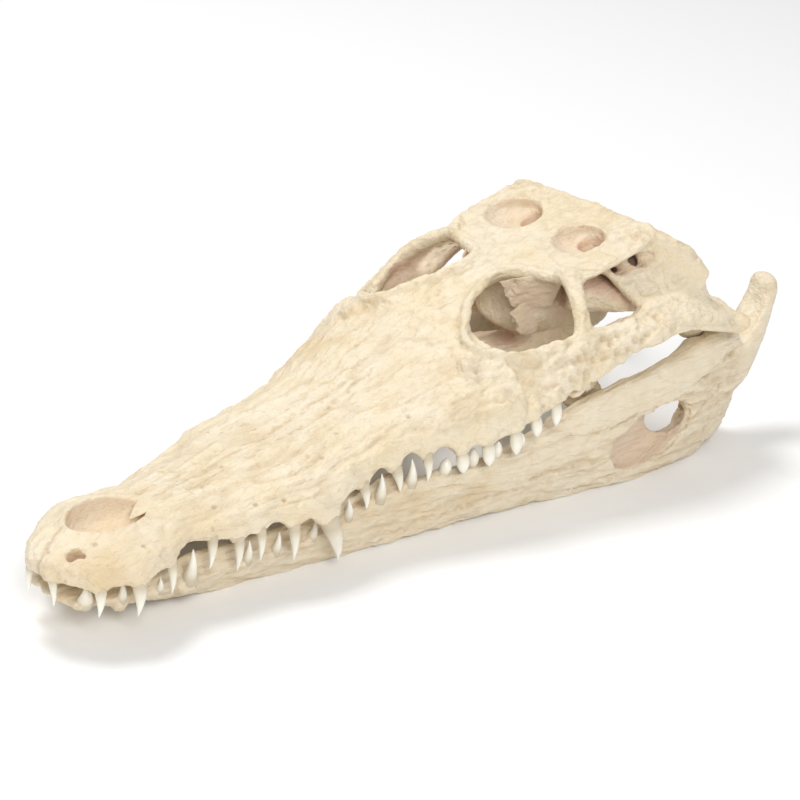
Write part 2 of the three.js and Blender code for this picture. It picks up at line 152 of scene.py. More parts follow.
jaw_inner = curve([
    (1.9, JAW_MIDDLE), (12, JAW_MIDDLE), (14, 0.5), (17, 1.7), (22, 3.2), (30, 5.4), (40, 7.9), (50, 9.9),
    (60, 11.6), (70, 13.2), (80, 14.7), (90, 16.2), (98, 16), (103, 14.6), (110, 14.2),
])
jaw_top = curve([
    (1.9, 5), (3, 5.4), (8, 4.8), (14, 4), (18, 4.6), (22, 3.9), (28, 3.7), (34, 4.2), (38, 4.7), (42, 5.8),
    (47, 7.2), (52, 8.2), (60, 8.4), (65, 8.9), (71, 10.2), (74, 11.6), (80, 13.3), (88, 14.7), (96, 15.7),
    (102, 16.7), (110, 16.4),
])
jaw_bottom = curve([
    (1.9, 4.5), (4, 4.1), (6, 3.3), (9, 2.2), (13, 1.3), (18, 0.6), (25, -0.3), (40, -0.4), (55, 0),
    (70, 0.1), (78, -0.2), (88, -0.6), (98, -0.6), (103, -0.1), (107, 1.2), (110, 3),
])

# Hollows in the upper skull: middle and radii
NOSTRIL = ((0, 10.5, 12.6), (3.7, 5.3, 2.9))
RIGHT_BOWL = ((-6.6, 89.2, 30.2), (3.8, 4.6, 1.9))
LEFT_BOWL = ((4.9, 89.3, 30.1), (3.4, 4.1, 1.8))
TOOTH_HOLE = ((3.3, 2.9, 10.6), (0.6, 0.8, 2.8))
# A slightly larger ball round the tooth hole, inside which the colour is darkened as painted shade.
TOOTH_HOLE_SHADE = ((3.3, 2.9, 10.6), (0.75, 0.95, 2.9))

# The window in the side of the jaw: where it lies along the jaw and from where to where it reaches up
WINDOW_ALONG = (82.5, 99.5)
WINDOW_UP = (1.6, 10.4)

# Teeth of one side, front to back: place along the jaw, length, root radius, lean backwards and how far
# the tip leans outwards; a tooth fills most of its socket, and behind a certain place the teeth are blunt
USUAL_SPLAY = 0.5
SOCKET_SHARE = 0.93
BLUNT_FROM = 55
UPPER_TEETH = [
    (0.7, 3.5, 0.65, 0.1), (4.2, 3.4, 0.9, -0.4), (8.4, 4.1, 1.05, -0.3), (14.1, 3.8, 0.75, 0),
    (20.9, 3.6, 0.8, -0.6), (24.4, 4, 0.8, -0.4), (27.4, 3.5, 0.75, -0.2), (31.6, 4.5, 0.9, 0),
    (36.2, 6.2, 1.45, 2.3), (43, 3, 0.85, 0.7), (48.1, 3.2, 0.9, 1.1), (52.4, 3.4, 0.85, 0.3),
    (57.1, 2.9, 1, 0.4), (60.8, 3.2, 1, 0.3), (64.8, 3.5, 0.95, 0.4), (67.9, 2.7, 0.85, 0.3),
    (71.1, 3.1, 0.8, 0),
]
LOWER_TEETH = [
    (3.9, 2.3, 1.25, 0.1), (8.6, 2.4, 0.75, -0.3), (14.4, 1.5, 0.6, -0.2), (17.6, 4.3, 1, 0),
    (27.4, 2.8, 0.75, 0), (31.4, 2.5, 0.75, 0.4), (36.7, 2.1, 0.8, 0.3), (42.2, 2.6, 0.8, -0.4),
    (46.8, 3.6, 0.95, -0.2), (51.4, 3.6, 1, -0.3), (56.4, 2, 0.9, 0.6), (61.2, 2.5, 0.85, -0.4),
    (64.9, 2.2, 0.75, -0.3), (68.4, 1.8, 0.7, 0),
]
FOURTH = 3
FOURTH_SPLAY = {1: 0.8, -1: 1.6}
RIGHT_FOURTH = (17.6, 6, 1, 0.4)


# Working on meshes
def deselect_all():
    bpy.ops.object.select_all(action="DESELECT")


def take(piece):
    deselect_all()
    piece.select_set(True)
    bpy.context.view_layer.objects.active = piece


def corners_of(piece):
    mesh = piece.data
    flat = np.empty(len(mesh.vertices) * 3, np.float32)
    mesh.vertices.foreach_get("co", flat)
    return flat.reshape(-1, 3).astype(float)


def set_corners(piece, corners):
    piece.data.vertices.foreach_set("co", np.asarray(corners, np.float32).ravel())
    piece.data.update()


def normals_of(piece):
    flat = np.empty(len(piece.data.vertices) * 3, np.float32)
    piece.data.vertex_normals.foreach_get("vector", flat)
    return flat.reshape(-1, 3).astype(float)


def apply_modifier(piece, kind, **settings):
    take(piece)
    modifier = piece.modifiers.new(kind.title(), kind)
    for name, value in settings.items():
        setattr(modifier, name, value)
    bpy.ops.object.modifier_apply(modifier=modifier.name)


def joined(forms, name):
    take(forms[0])
    for form in forms[1:]:
        form.select_set(True)
    if len(forms) > 1:
        bpy.ops.object.join()
    whole = bpy.context.object
    whole.name = name
    whole.data.name = name
    return whole


def remesh(piece, voxel):
    apply_modifier(piece, "REMESH", mode="VOXEL", voxel_size=voxel, use_smooth_shade=True)


def smooth(piece, times, factor=0.5):
    apply_modifier(piece, "SMOOTH", factor=factor, iterations=times)


def combine(piece, other, operation):
    apply_modifier(piece, "BOOLEAN", object=other, operation=operation, solver="MANIFOLD")
    bpy.data.objects.remove(other)


def copy_of(piece, name):
    copy = piece.copy()
    copy.data = piece.data.copy()
    copy.name = name
    copy.data.name = name
    bpy.context.scene.collection.objects.link(copy)
    return copy


def face_outwards(piece):
    take(piece)
    bpy.ops.object.mode_set(mode="EDIT")
    bpy.ops.mesh.select_all(action="SELECT")
    bpy.ops.mesh.normals_make_consistent(inside=False)
    bpy.ops.object.mode_set(mode="OBJECT")


# Basic forms
def rolled(sides, steps, place):
    """A flat grid rolled up into a tube whose corners are placed by turn and way along, its ends filled."""
    deselect_all()
    bpy.ops.mesh.primitive_grid_add(x_subdivisions=sides, y_subdivisions=steps, size=2)
    form = bpy.context.object
    corners = corners_of(form)
    set_corners(form, to_metres(place(corners[:, 0] * math.pi, (corners[:, 1] + 1) / 2)))
    bpy.ops.object.mode_set(mode="EDIT")
    bpy.ops.mesh.select_all(action="SELECT")
    bpy.ops.mesh.remove_doubles(threshold=SAME_PLACE)
    bpy.ops.mesh.fill_holes(sides=0)
    bpy.ops.mesh.normals_make_consistent(inside=False)
    bpy.ops.object.mode_set(mode="OBJECT")
    return form


def ball(centre, radii, tilt=0, segments=32):
    """A ball, or an egg where its radii differ, tilted about the line across the skull."""
    deselect_all()
    bpy.ops.mesh.primitive_uv_sphere_add(
        segments=segments, ring_count=segments // 2, radius=UNIT, location=to_metres(centre),
        rotation=(tilt, 0, 0), scale=radii)
    bpy.ops.object.transform_apply(location=True, rotation=True, scale=True)
    return bpy.context.object


def limb(path, wide, tall, lie=(0, 0, 1), sides=24, steps=28, square=0.8):
    """A bone along a path: wide and tall are (way along, half size) pairs, lie is the tall direction."""
    line = route(path)
    wide_at, tall_at = curve(wide), curve(tall)

    def place(turn, along):
        tangent = unit_of(line(np.minimum(along + 0.01, 1)) - line(np.maximum(along - 0.01, 0)))
        across = unit_of(np.cross(tangent, np.array(lie, float)))
        up = np.cross(across, tangent)
        sideways = (wide_at(along) * power(np.sin(turn), square))[:, None]
        upwards = (tall_at(along) * power(np.cos(turn), square))[:, None]
        return line(along) + across * sideways + up * upwards

    return rolled(sides, steps, place)


def rod(path, sizes, **settings):
    """A limb that is as tall as it is wide."""
    return limb(path, sizes, sizes, square=1, **settings)


def plate(low_edge, high_edge, thick, sides=32, steps=48, square=0.75):
    """A plate between two edges of matching points, with its thickness on the inner side."""
    low, high, thick_at = route(low_edge), route(high_edge), curve(thick)

    def place(turn, along):
        start, end = low(along), high(along)
        half = np.linalg.norm(end - start, axis=1, keepdims=True) / 2
        across = unit_of(end - start)
        ahead, back = np.minimum(along + 0.01, 1), np.maximum(along - 0.01, 0)
        tangent = unit_of(low(ahead) - low(back) + high(ahead) - high(back))
        outside = unit_of(np.cross(tangent, across))
        depth = (thick_at(along) / 2)[:, None]
        middle = (start + end) / 2 + across * half * power(np.cos(turn), square)[:, None]
        return middle + outside * depth * (power(np.sin(turn), square) - 1)[:, None]

    return rolled(sides, steps, place)


def mirrored(form, name=None):
    """The same form on the animal's right side."""
    copy = copy_of(form, name or form.name)
    set_corners(copy, corners_of(copy) * np.array([-1, 1, 1]))
    face_outwards(copy)
    return copy


def both_sides(forms):
    return forms + [mirrored(form) for form in forms]


# Noise that is the same each run
def hashed(cells, seed):
    """A number from 0 to 1 for each whole-numbered place."""
    mixed = seed * SEED_SCATTER
    for i, large in enumerate(SCATTER):
        mixed = mixed ^ (cells[..., i] * large)
    for shift, large in STIRS:
        mixed = (mixed ^ (mixed >> shift)) * large & 0xFFFFFFFF
    return ((mixed ^ (mixed >> 15)) & 0xFFFFFF) / 0xFFFFFF


def noise(points, size, seed=0, stretch=(1, 1, 1)):
    """Soft lumps from -1 to 1, about size across and stretched along the axes."""
    spots = points / (size * np.array(stretch))
    cells = np.floor(spots).astype(np.int64)
    share = spots - cells
    share = share * share * (3 - 2 * share)
    total = 0
    for corner in np.ndindex(2, 2, 2):
        weight = np.prod(np.where(corner, share, 1 - share), axis=1)
        total = total + weight * hashed(cells + np.array(corner), seed)
    return total * 2 - 1


def rough(points, size, seed=0, stretch=(1, 1, 1), octaves=3):
    """Lumps on lumps: each finer layer is half as high."""
    layers = [noise(points, size / 2 ** i, seed + i, stretch) / 2 ** i for i in range(octaves)]
    return sum(layers)


def drift(points, size, seed):
    """A soft shift from -1 to 1 in each of the three directions."""
    return np.stack([noise(points, size, seed + i) for i in range(3)], -1)


def pits(points, size, seed=0, stretch=(1, 1, 1)):
    """Cell pattern: how far each point is from the nearest of scattered seeds."""
    spots = points / (size * np.array(stretch))
    cells = np.floor(spots).astype(np.int64)
    nearest = np.full(len(points), 9.0)
    for corner in np.ndindex(3, 3, 3):
        near = cells + np.array(corner) - 1
        seeds = near + np.stack([hashed(near, seed + i) for i in range(3)], -1)
        nearest = np.minimum(nearest, np.linalg.norm(spots - seeds, axis=1))
    return nearest


def distance_from(points, path, steps=60):
    """How far each point is from a smooth line through places."""
    line = route(path)(np.linspace(0, 1, steps))
    nearest = np.full(len(points), 1e9)
    for start, end in zip(line, line[1:]):
        step = end - start
        share = np.clip((points - start) @ step / (step @ step), 0, 1)
        distance = np.linalg.norm(points - start - share[:, None] * step, axis=1)
        nearest = np.minimum(nearest, distance)
    return nearest


def front_share(side, y):
    """How wide the front end is on one side; the animal's right side is the narrower one."""
    return np.where(side < 0, 1 - 0.17 * (1 - blend(3, 13, y)), 1)


# Upper skull: blocked-out forms
def snout_dome():
    shoulder = curve([(0, 0.72), (40, 0.74), (62, 0.88)])
    crown = curve([(0, 0.95), (40, 0.95), (62, 1.12)])
    start, end = 0.05, SNOUT_END + 2.5

    def place(turn, along):
        y = start + (end - start) * along ** 1.2
        width, top, margin = half_width(y), top_line(y), margin_line(y)
        side = margin + (top - margin) * 0.26
        x = width * power(np.sin(turn), shoulder(y)) * front_share(np.sin(turn), y)
        upper = side + (top - side) * np.abs(np.cos(turn)) ** crown(y)
        vault = 1.1 * blend(1.5, 6, y) * np.maximum(0, 1 - (x / (0.8 * width)) ** 2)
        lower = side - (side - margin - vault) * np.abs(np.cos(turn)) ** 0.35
        return np.stack([x, y, np.where(np.cos(turn) >= 0, upper, lower)], -1)

    return rolled(96, 200, place)


def upper_tooth_line(side, y):
    return side * float((half_width(y) - 0.85 - 0.7 * (1 - blend(1, 4, y))) * front_share(side, y))


def tooth_bulges(side):
    """Swellings of the upper jaw over its teeth, which make its edge wavy."""
    bulges = []
    for place, _, radius, _ in UPPER_TEETH:
        middle = (upper_tooth_line(side, place), place, margin_line(place) + 0.9)
        bulges.append(ball(middle, (radius * 1.15, radius * 1.45, 1.5), segments=16))
    return bulges


def nostril_rim():
    """The thin raised edge round the nose opening."""
    turns = np.linspace(-2.9, 2.9, 15)
    path = [(3.85 * math.sin(t), 10.4 - 5.35 * math.cos(t), 12.2 + 0.35 * abs(math.sin(t))) for t in turns]
    return rod(path, [(0, 0.35), (0.2, 0.62), (0.8, 0.62), (1, 0.35)], steps=60)


def roof():
    edge = curve([
        (62, 8.2), (64, 7.2), (66, 5.6), (68, 4.3), (71, 3), (74, 2.5), (76.5, 3), (78.2, 4.4), (79.4, 7.4),
        (80.4, 10.6), (82, 12), (85, 12.7), (92, 13), (96, 12.7), (98.3, 11.8),
    ])
    edge_height = curve([
        (62, 22.6), (66, 25), (71, 26.9), (76, 28.2), (80, 28.9), (88, 30.3), (98.3, 32.2),
    ])
    thick = curve([(62, 2.6), (72, 2), (80, 1.9), (98.3, 1.8)])

    def place(turn, along):
        y = 62 + 36.3 * along
        x = edge(y) * power(np.sin(turn), 0.6)
        surface = top_line(y) - 0.3 + (edge_height(y) - top_line(y) + 0.3) * (x / edge(y)) ** 2
        return np.stack([x, y, surface - thick(y) / 2 + thick(y) / 2 * power(np.cos(turn), 0.5)], -1)

    return rolled(72, 90, place)


def cheek_plate():
    """The cheek bar from the snout to the jaw joint, under the eye and the opening behind it."""
    margin = [
        (16.4, 60, 12.6), (17.8, 66, 14), (19, 71.7, 16.2), (19.8, 75.6, 17.7), (20.6, 81, 19.4),
        (21.6, 87.5, 21.6), (22.4, 94, 22), (22.8, 100, 20.8), (22.6, 106.3, 19.2),
    ]
    rim = [
        (11, 60, 23.2), (12.2, 65.6, 22.4), (14.2, 70, 22.7), (15.8, 74.4, 23.6), (17.1, 80.5, 24.1),
        (17.7, 86.5, 24.4), (16.2, 92, 25.2), (16.6, 99, 24.2), (18.8, 106.3, 20.7),
    ]
    return plate(margin, rim, [(0, 3), (0.25, 1.9), (0.7, 1.7), (1, 2.6)], steps=90)


def eye_pillar():
    return limb(
        [(9.2, 82, 28.6), (11.4, 80.9, 27.4), (13.8, 79.4, 25.8), (15.8, 78.2, 23.6), (17, 77.8, 20.6)],
        [(0, 2.2), (0.3, 1.35), (0.65, 1.3), (1, 1.9)], [(0, 1.2), (0.35, 1.1), (0.7, 1.1), (1, 1.3)],
        lie=(1, 0, 0.6), square=1)


def joint_shaft(swell=0):
    return limb(
        [(5, 87, 23.5), (9.5, 92.5, 22.8), (14, 99, 21.8), (18.6, 106.4, 19.3)],
        [(0, 4 + swell), (0.5, 3.6 + swell), (1, 4.1 + swell)],
        [(0, 2.6 + swell), (0.5, 1.7 + swell), (1, 1.5 + swell)])


def knuckles(swell=0):
    radii = [2 + swell, 1.5 + swell, 1.5 + swell]
    inner_end = ball((15.8, 102.8, 17.8), (1.8 + swell, 3 + swell, 2.1 + swell))
    return [ball((21, 106.3, 19), radii), ball((16.4, 106.6, 18.2), radii), inner_end]


def ear_wall():
    """The sloping wall from under the table's edge out to the cheek, behind the opening."""
    return plate(
        [(17, 90.4, 23), (17.8, 94, 22.6), (18.4, 98.6, 22), (19.4, 103.6, 20.6)],
        [(9.6, 88.4, 28.4), (10, 92, 29.4), (11.2, 97, 30.4), (15.6, 102.8, 27)],
        [(0, 1.3), (0.3, 2), (1, 2.4)], square=0.5)


def inner_shelf():
    """The thick inner side of the cheek bar, along which the palate joins it."""
    return limb(
        [(13.6, 62, 15.4), (14.8, 71, 17.2), (15.6, 78, 19.6), (16.3, 85, 21.4), (16.7, 92, 22.5)],
        [(0, 2.4), (0.3, 2.7), (0.7, 2.4), (1, 1)], [(0, 1.6), (0.4, 1.1), (1, 0.8)])


def table_floor():
    """The thicker bone under the bowls in the table."""
    return ball((5.6, 89.2, 27.6), (4.6, 6, 2))


def rear_prong():
    return limb(
        [(8, 95.5, 30.4), (12, 97.8, 29.4), (14.6, 100.6, 27.3), (16.6, 102.9, 24.4)],
        [(0, 1.6), (1, 1.1)], [(0, 1.5), (0.5, 2), (1, 1.6)])


def braincase():
    box = limb(
        [(0, 79.4, 23.6), (0, 84, 23), (0, 91, 22.6), (0, 98, 22.4)],
        [(0, 4.4), (0.15, 5), (0.35, 4.8), (0.6, 4.6), (1, 6.5)], [(0, 4.6), (0.3, 6.4), (1, 8.6)], sides=40)
    back_wall = limb(
        [(-16, 101, 23.8), (-9, 97.6, 25), (0, 96.6, 25.6), (9, 97.6, 25), (16, 101, 23.8)],
        [(0, 0.9), (0.5, 1.5), (1, 0.9)], [(0, 1.6), (0.5, 5.6), (1, 1.6)], steps=50)
    base = limb([(0, 88, 14.6), (0, 97.6, 15.6)], [(0, 3), (1, 3.6)], [(0, 2.6), (1, 3.6)])
    return [box, back_wall, base, ball((0, 99.4, 19), (1.9, 2, 1.6))]


def palate_bar():
    return limb(
        [(0, 58, 14.4), (0, 68, 13.8), (0, 78, 13.6), (0, 90, 13.6)],
        [(0, 4.6), (0.4, 3), (0.7, 3.2), (1, 4.4)], [(0, 2.4), (0.5, 2.2), (1, 2.4)])


def palate_wing():
    return limb(
        [(0, 84.5, 13.6), (6, 84.6, 12.4), (10.5, 85.4, 10.6), (13.6, 86.6, 8.6)],
        [(0, 6), (0.5, 5.2), (1, 3.2)], [(0, 0.9), (0.6, 0.7), (1, 1.2)])


def cheek_strut():
    return limb(
        [(17.4, 75.4, 17.4), (15.7, 79.6, 16), (13.6, 84, 13), (12.8, 86.8, 9.6)],
        [(0, 2.2), (0.4, 1.4), (1, 1.5)], [(0, 1.4), (0.5, 1), (1, 0.9)], lie=(1, 0, 0))


def eye_rim():
    """The lip along the front and upper edge of the eye opening."""
    return rod(
        [(14.9, 70.2, 22.6), (12.6, 66, 22.6), (10.2, 63.8, 22.9), (8, 63.7, 23.7), (6.2, 65.6, 24.9),
         (4.4, 68.1, 26), (3.2, 71.4, 26.9), (2.6, 75.2, 27.8), (3.9, 78.5, 28.2), (7.5, 80, 28.3)],
        [(0, 0.3), (0.3, 0.62), (0.7, 0.7), (1, 0.4)], steps=70)


def skull_forms():
    middle = [snout_dome(), nostril_rim(), roof(), palate_bar()] + braincase()
    side = [
        cheek_plate(), eye_pillar(), joint_shaft(), ear_wall(), rear_prong(), palate_wing(), cheek_strut(),
        eye_rim(), inner_shelf(), table_floor(),
    ]
    return middle + both_sides(side + knuckles()) + tooth_bulges(1) + tooth_bulges(-1)


# Upper skull: openings
def first_tooth_hole():
    """The ragged hole through which the tip of the first lower tooth shows."""
    return [
        ball(*TOOTH_HOLE),
        ball((4, 3.6, 10.8), (0.5, 0.5, 2.4)),
        ball((2.7, 2.4, 10.8), (0.45, 0.5, 2.4)),
    ]


def skull_openings():
    nostril = ball(*NOSTRIL, segments=48)
    nostril_depth = ball((1.1, 15.4, 11.2), (1.3, 2.4, 1.1))
    right_bowl = ball(*RIGHT_BOWL)
    right_depth = ball((-5.2, 91.9, 28.8), (1.4, 1.8, 2.3))
    left_bowl = ball(*LEFT_BOWL)
    left_depth = ball((5.6, 91.6, 28.6), (1.9, 1.7, 2.6))
    incisive_hole = ball((0, 5.4, 8.4), (1, 1.5, 1.6))
    spinal_hole = ball((0, 98.8, 22.3), (1.4, 2, 1.1))
    side = [
        ball((7.9, 66, 12), (3.4, 14, 7.5)),
        ball((8.4, 65, 18), (4.4, 4.4, 2.6)),
        ball((12.5, 92.2, 27.9), (2.1, 5, 0.95), tilt=0.12),
        ball((10.8, 91, 27.4), (1.6, 1.4, 0.9)),
        ball((11, 94.4, 27.6), (1.7, 1, 0.85)),
    ]
    middle = [nostril, nostril_depth, incisive_hole, spinal_hole]
    middle += [right_bowl, right_depth, left_bowl, left_depth]
    return middle + first_tooth_hole() + both_sides(side)


def blended(name, make_forms, make_openings, softness):
    """Forms blended into one bone with its openings cut, and how closed in its places are."""
    whole = joined(make_forms(), name)
    remesh(whole, BLEND_VOXEL)
    smooth(whole, softness + 3)
    carve(whole, make_openings())
    remesh(whole, BLEND_VOXEL)
    smooth(whole, softness)
    places, shut = shelter(whole)
    remesh(whole, SURFACE_VOXEL)
    smooth(whole, softness + 1)
    return whole, places, shut


def carve(piece, openings):
    """Cuts the openings out one after another, as they overlap each other."""
    for opening in openings:
        combine(piece, opening, "DIFFERENCE")


def looks_all_round():
    """Directions spread evenly all round."""
    heights = np.linspace(-1, 1, LOOKS + 2)[1:-1]
    turns = np.arange(LOOKS) * math.pi * (3 - math.sqrt(5))
    flats = np.sqrt(1 - heights * heights)
    return [Vector(look) for look in zip(flats * np.cos(turns), flats * np.sin(turns), heights)]


def shelter(piece):
    """How closed in each corner is, from 0 in the open to 1 deep inside, by looking out all round it."""
    take(piece)
    tree = BVHTree.FromObject(piece, bpy.context.evaluated_depsgraph_get())
    corners, normals = corners_of(piece), normals_of(piece)
    looks = looks_all_round()
    facing = normals @ np.array(looks).T > 0.1
    starts = corners + normals * LOOK_START
    shut = np.zeros(len(corners))
    for i, start in enumerate(starts):
        origin = Vector(start)
        chosen = np.flatnonzero(facing[i])
        hits = sum(tree.ray_cast(origin, looks[j], LOOK_REACH)[0] is not None for j in chosen)
        shut[i] = hits / max(len(chosen), 1)
    return corners, shut


def carried_over(piece, places, values):
    """Values known at some places, read at the nearest of them for each corner of the piece."""
    tree = KDTree(len(places))
    for i, place in enumerate(places):
        tree.insert(place, i)
    tree.balance()
    found = [tree.find(corner)[1] for corner in corners_of(piece)]
    return values[found]


def set_value(piece, name, values):
    attribute = piece.data.attributes.new(name, "FLOAT", "POINT")
    attribute.data.foreach_set("value", np.clip(values, 0, 1).astype(np.float32))


# Upper skull: worked surface
def veins(points, size, seed, stretch=(1, 1, 1)):
    """Thin winding lines: 1 on a line, 0 away from it."""
    return 1 - blend(0.02, 0.3, np.abs(rough(points, size, seed, stretch, 2)))


def bowls(points, size, seed, stretch=(1, 1, 1)):
    """Round hollows packed side by side: 0 on the ridges between them, 1 in their middles."""
    warped = points + 0.2 * size * drift(points, size * 1.5, seed + 5)
    return 1 - blend(0.05, 0.72, pits(warped, size, seed, stretch))


def inside_ball(points, centre, radii):
    """1 on and inside the wall of a hollow cut with a ball."""
    reach = np.linalg.norm((points - np.array(centre)) / np.array(radii), axis=1)
    return 1 - blend(1.03, 1.12, reach)


class Spots:
    """The corners of a bone: where they are, in hundredths, which way they face and how closed in."""

    def __init__(self, points, normals, shut, open_below, shut_above):
        self.points = points
        self.normals = normals
        self.shut = shut
        self.x = np.abs(points[:, 0])
        self.y = points[:, 1]
        self.z = points[:, 2]
        self.upward = blend(0.1, 0.6, normals[:, 2])
        self.open_air = 1 - blend(open_below, shut_above, shut)


def snout_share(at):
    return 1 - blend(58, 70, at.y)


def ear_wall_share(at):
    """1 on the bone behind the opening at the cheek's rear."""
    return blend(84, 87, at.y) * blend(23.6, 24.6, at.z)


def table_share(at):
    """1 on top of the table, outside its bowls."""
    return blend(79, 84, at.y) * blend(26.5, 28.5, at.z) * at.upward * (1 - blend(0.1, 0.3, at.shut))


def rough_share(at):
    """1 on rough bone and less on the smoother pillar behind the eye, ear wall and rear."""
    pillar = band(75.5, 84, 1, at.y) * blend(22.6, 23.6, at.z)
    wall = ear_wall_share(at) * (1 - blend(0.4, 0.8, at.normals[:, 2])) + blend(96, 100, at.y)
    return 1 - 0.7 * np.clip(pillar + wall, 0, 1)


def skull_grain(at, uneven):
    """Wrinkles and lines along the snout and winding lines behind it: how high, and how dark as painted shade
    in the lines and low places.
    """
    flow = np.stack([at.points[:, 0] / half_width(at.y) * 12, at.y, at.z], -1)
    along = snout_share(at) * band(20, 62, 8, at.y) * at.open_air
    lines = veins(flow, 2.2, 15, (1, 5, 1.5)) * along * (0.4 + 0.6 * at.upward)
    worms = veins(at.points, 2.1, 17, (1, 1.3, 1)) * at.open_air * blend(45, 66, at.y) * at.upward
    height = 0.65 * rough(at.points, 1, 21, (1, 1.6, 1)) * at.open_air * uneven
    height += 0.95 * rough(flow, 1.1, 11, (1, 6, 1.6)) * along * (0.35 + 0.65 * at.upward)
    height -= 0.45 * lines + 0.55 * worms
    return height, 0.3 * lines + 0.15 * worms + 0.22 * blend(0.1, 0.9, -height)


def skull_pits(at, uneven):
    """Pits side by side on the cheek bars and the table's rear edge: how high, and how dark as painted shade
    in the pits.
    """
    hollow = bowls(at.points, 1.15, 31, (1, 1.2, 1))
    cheek = blend(62, 72, at.y) * (1 - blend(88, 94, at.y)) * blend(12, 15.5, at.x) * at.open_air
    cheek *= (0.4 + 0.6 * blend(69, 77, at.y)) * uneven * (1 - ear_wall_share(at))
    edge = table_share(at) * blend(88, 94, at.y) * blend(5, 9, at.x)
    height = (0.8 - 2.2 * hollow) * cheek + (0.4 - 1.2 * hollow) * edge
    return height, 0.55 * hollow * (cheek + edge)


def small_holes(at):
    """Holes for blood vessels, scattered over the snout: how high, and how dark as painted shade in the
    holes.
    """
    hole = (1 - blend(0.06, 0.12, pits(at.points, 3.1, 61))) * snout_share(at) * at.open_air
    return -1.1 * hole, hole


def front_seam(at):
    """The open joint that wanders up the snout's front: how high and how dark."""
    aside = at.points[:, 0] - np.maximum(0.5 - 0.42 * at.y, -1.4)
    aside -= 0.3 * noise(at.points * np.array([0, 1, 1]), 0.9, 75)
    seam = (1 - blend(0.08, 0.4, np.abs(aside))) * (1 - blend(4.6, 5.4, at.y)) * at.open_air
    return -0.8 * seam, 0.8 * seam


def blisters(at):
    """Small raised spots along the snout's front edge."""
    front_edge = (1 - blend(12, 30, at.y)) * (1 - blend(9.6, 11, at.z)) * at.open_air
    return 0.5 * (1 - blend(0.15, 0.45, pits(at.points, 0.8, 66))) * front_edge


def skull_surface(points, normals, shut):
    """Millimetres that the texture raises each corner, how dark it is there as painted shade and dark joints,
    and how closed in it looks, raised inside the nose opening and bowls for their painted shade.
    """
    at = Spots(points, normals, shut, 0.35, 0.7)
    uneven = rough_share(at)
    layers = [skull_grain(at, uneven), skull_pits(at, uneven), small_holes(at), front_seam(at)]
    height = sum(raised for raised, _ in layers) + blisters(at)
    height += 0.7 * rough(points, 3, 3) * (0.3 + 0.7 * at.open_air) * uneven
    height += 1.2 * rough(points, 3.6, 51, (1, 1.4, 1)) * table_share(at)
    dark = sum(darkened for _, darkened in layers) + inside_ball(points, *TOOTH_HOLE_SHADE)
    # Inside the nose opening and the bowls the bone counts as closed in, so the finish paints shade and a
    # darker pink there.
    hollow = sum(inside_ball(points, *place) for place in (NOSTRIL, RIGHT_BOWL, LEFT_BOWL))
    return height * (1 - 0.6 * np.minimum(hollow, 1)), dark, np.maximum(shut, 0.58 * hollow)


def line_of_bones(points, lines, width=0.24):
    """How deep the joints between the bones are, thin wandering grooves along their paths."""
    shifted = points + 0.35 * drift(points, 1.6, 71) + 0.22 * drift(points, 0.5, 81)
    depth = np.zeros(len(points))
    for line in lines:
        distance = distance_from(shifted, line)
        depth = np.maximum(depth, 1 - blend(width * 0.3, width * 1.6, distance))
    return depth


def lines_of_both_sides(lines):
    return lines + [[(-x, y, z) for x, y, z in line] for line in lines]


def on_roof(x, y, drop=0):
    """A place on the skull's top, or a little under it."""
    return (x, y, float(top_line(y)) - drop)


def skull_joints():
    middle_back = [on_roof(0, y) for y in (18, 26, 34, 42, 50)]
    side = [
        [on_roof(1.4, 16.5, 0.1), on_roof(1.7, 24, 0.2), on_roof(2, 34, 0.3), on_roof(2.3, 44, 0.4),
         on_roof(1.2, 54)],
        [(7.2, 17.4, 9.4), (6.2, 19, 11.2), (4.4, 21.5, 12.4), (2.4, 23.5, 13), (1.6, 25, 13.2)],
        [(2.2, 45, 16.6), (4.4, 50, 17.6), (6.4, 56, 18.8), (8.6, 62, 20.4), (10, 65, 21.6)],
        [(11.8, 67, 22.4), (13.4, 65, 20), (14, 61, 18), (15.5, 64, 16.4), (18.4, 70, 15.6)],
        [(3.2, 76, 27.6), (3.4, 73, 26.6), (1.2, 68, 24.8), (0.1, 64, 23.4)],
        [(0, 82, 29), (3, 81.4, 29), (6, 83.6, 29.5), (9, 82.6, 29.4), (12, 84.6, 29.2)],
    ]
    return [middle_back] + lines_of_both_sides(side)


def work_surface(piece, field, joints, places, shut_values):
    """Raises and lowers the surface by its texture and keeps what the finish needs to know."""
    shut = carried_over(piece, places, shut_values)
    corners, normals = corners_of(piece), normals_of(piece)
    points = to_hundredths(corners)
    height, dark, shut = field(points, normals, shut)
    joint = line_of_bones(points, joints) * (1 - blend(0.35, 0.6, shut))
    height = height - 0.7 * joint
    set_corners(piece, corners + normals * (height * MILLIMETRE)[:, None])
    # The darkening: painted shade in low places, grooves, pits and holes, and the dark joints between bones.
    set_value(piece, "shade_and_joint", dark + 0.8 * joint)
    # How closed in each corner is; the finish paints a darker pink there, partly the inner bone's tone and
    # partly painted shade.
    set_value(piece, "shut", shut)


def corner_box(corner, shift, size, turn, side):
    """A large box on one side of the skull, its middle shifted from a corner about which it is turned."""
    deselect_all()
    bpy.ops.mesh.primitive_cube_add(size=size * UNIT)
    box = bpy.context.object
    place = Matrix.Translation(Vector(to_metres(corner)))
    box.data.transform(place @ Matrix.Rotation(turn, 4, "X") @ Matrix.Translation(Vector(shift) * UNIT))
    if side < 0:
        box.data.transform(Matrix.Scale(-1, 4, (1, 0, 0)))
        face_outwards(box)
    return box


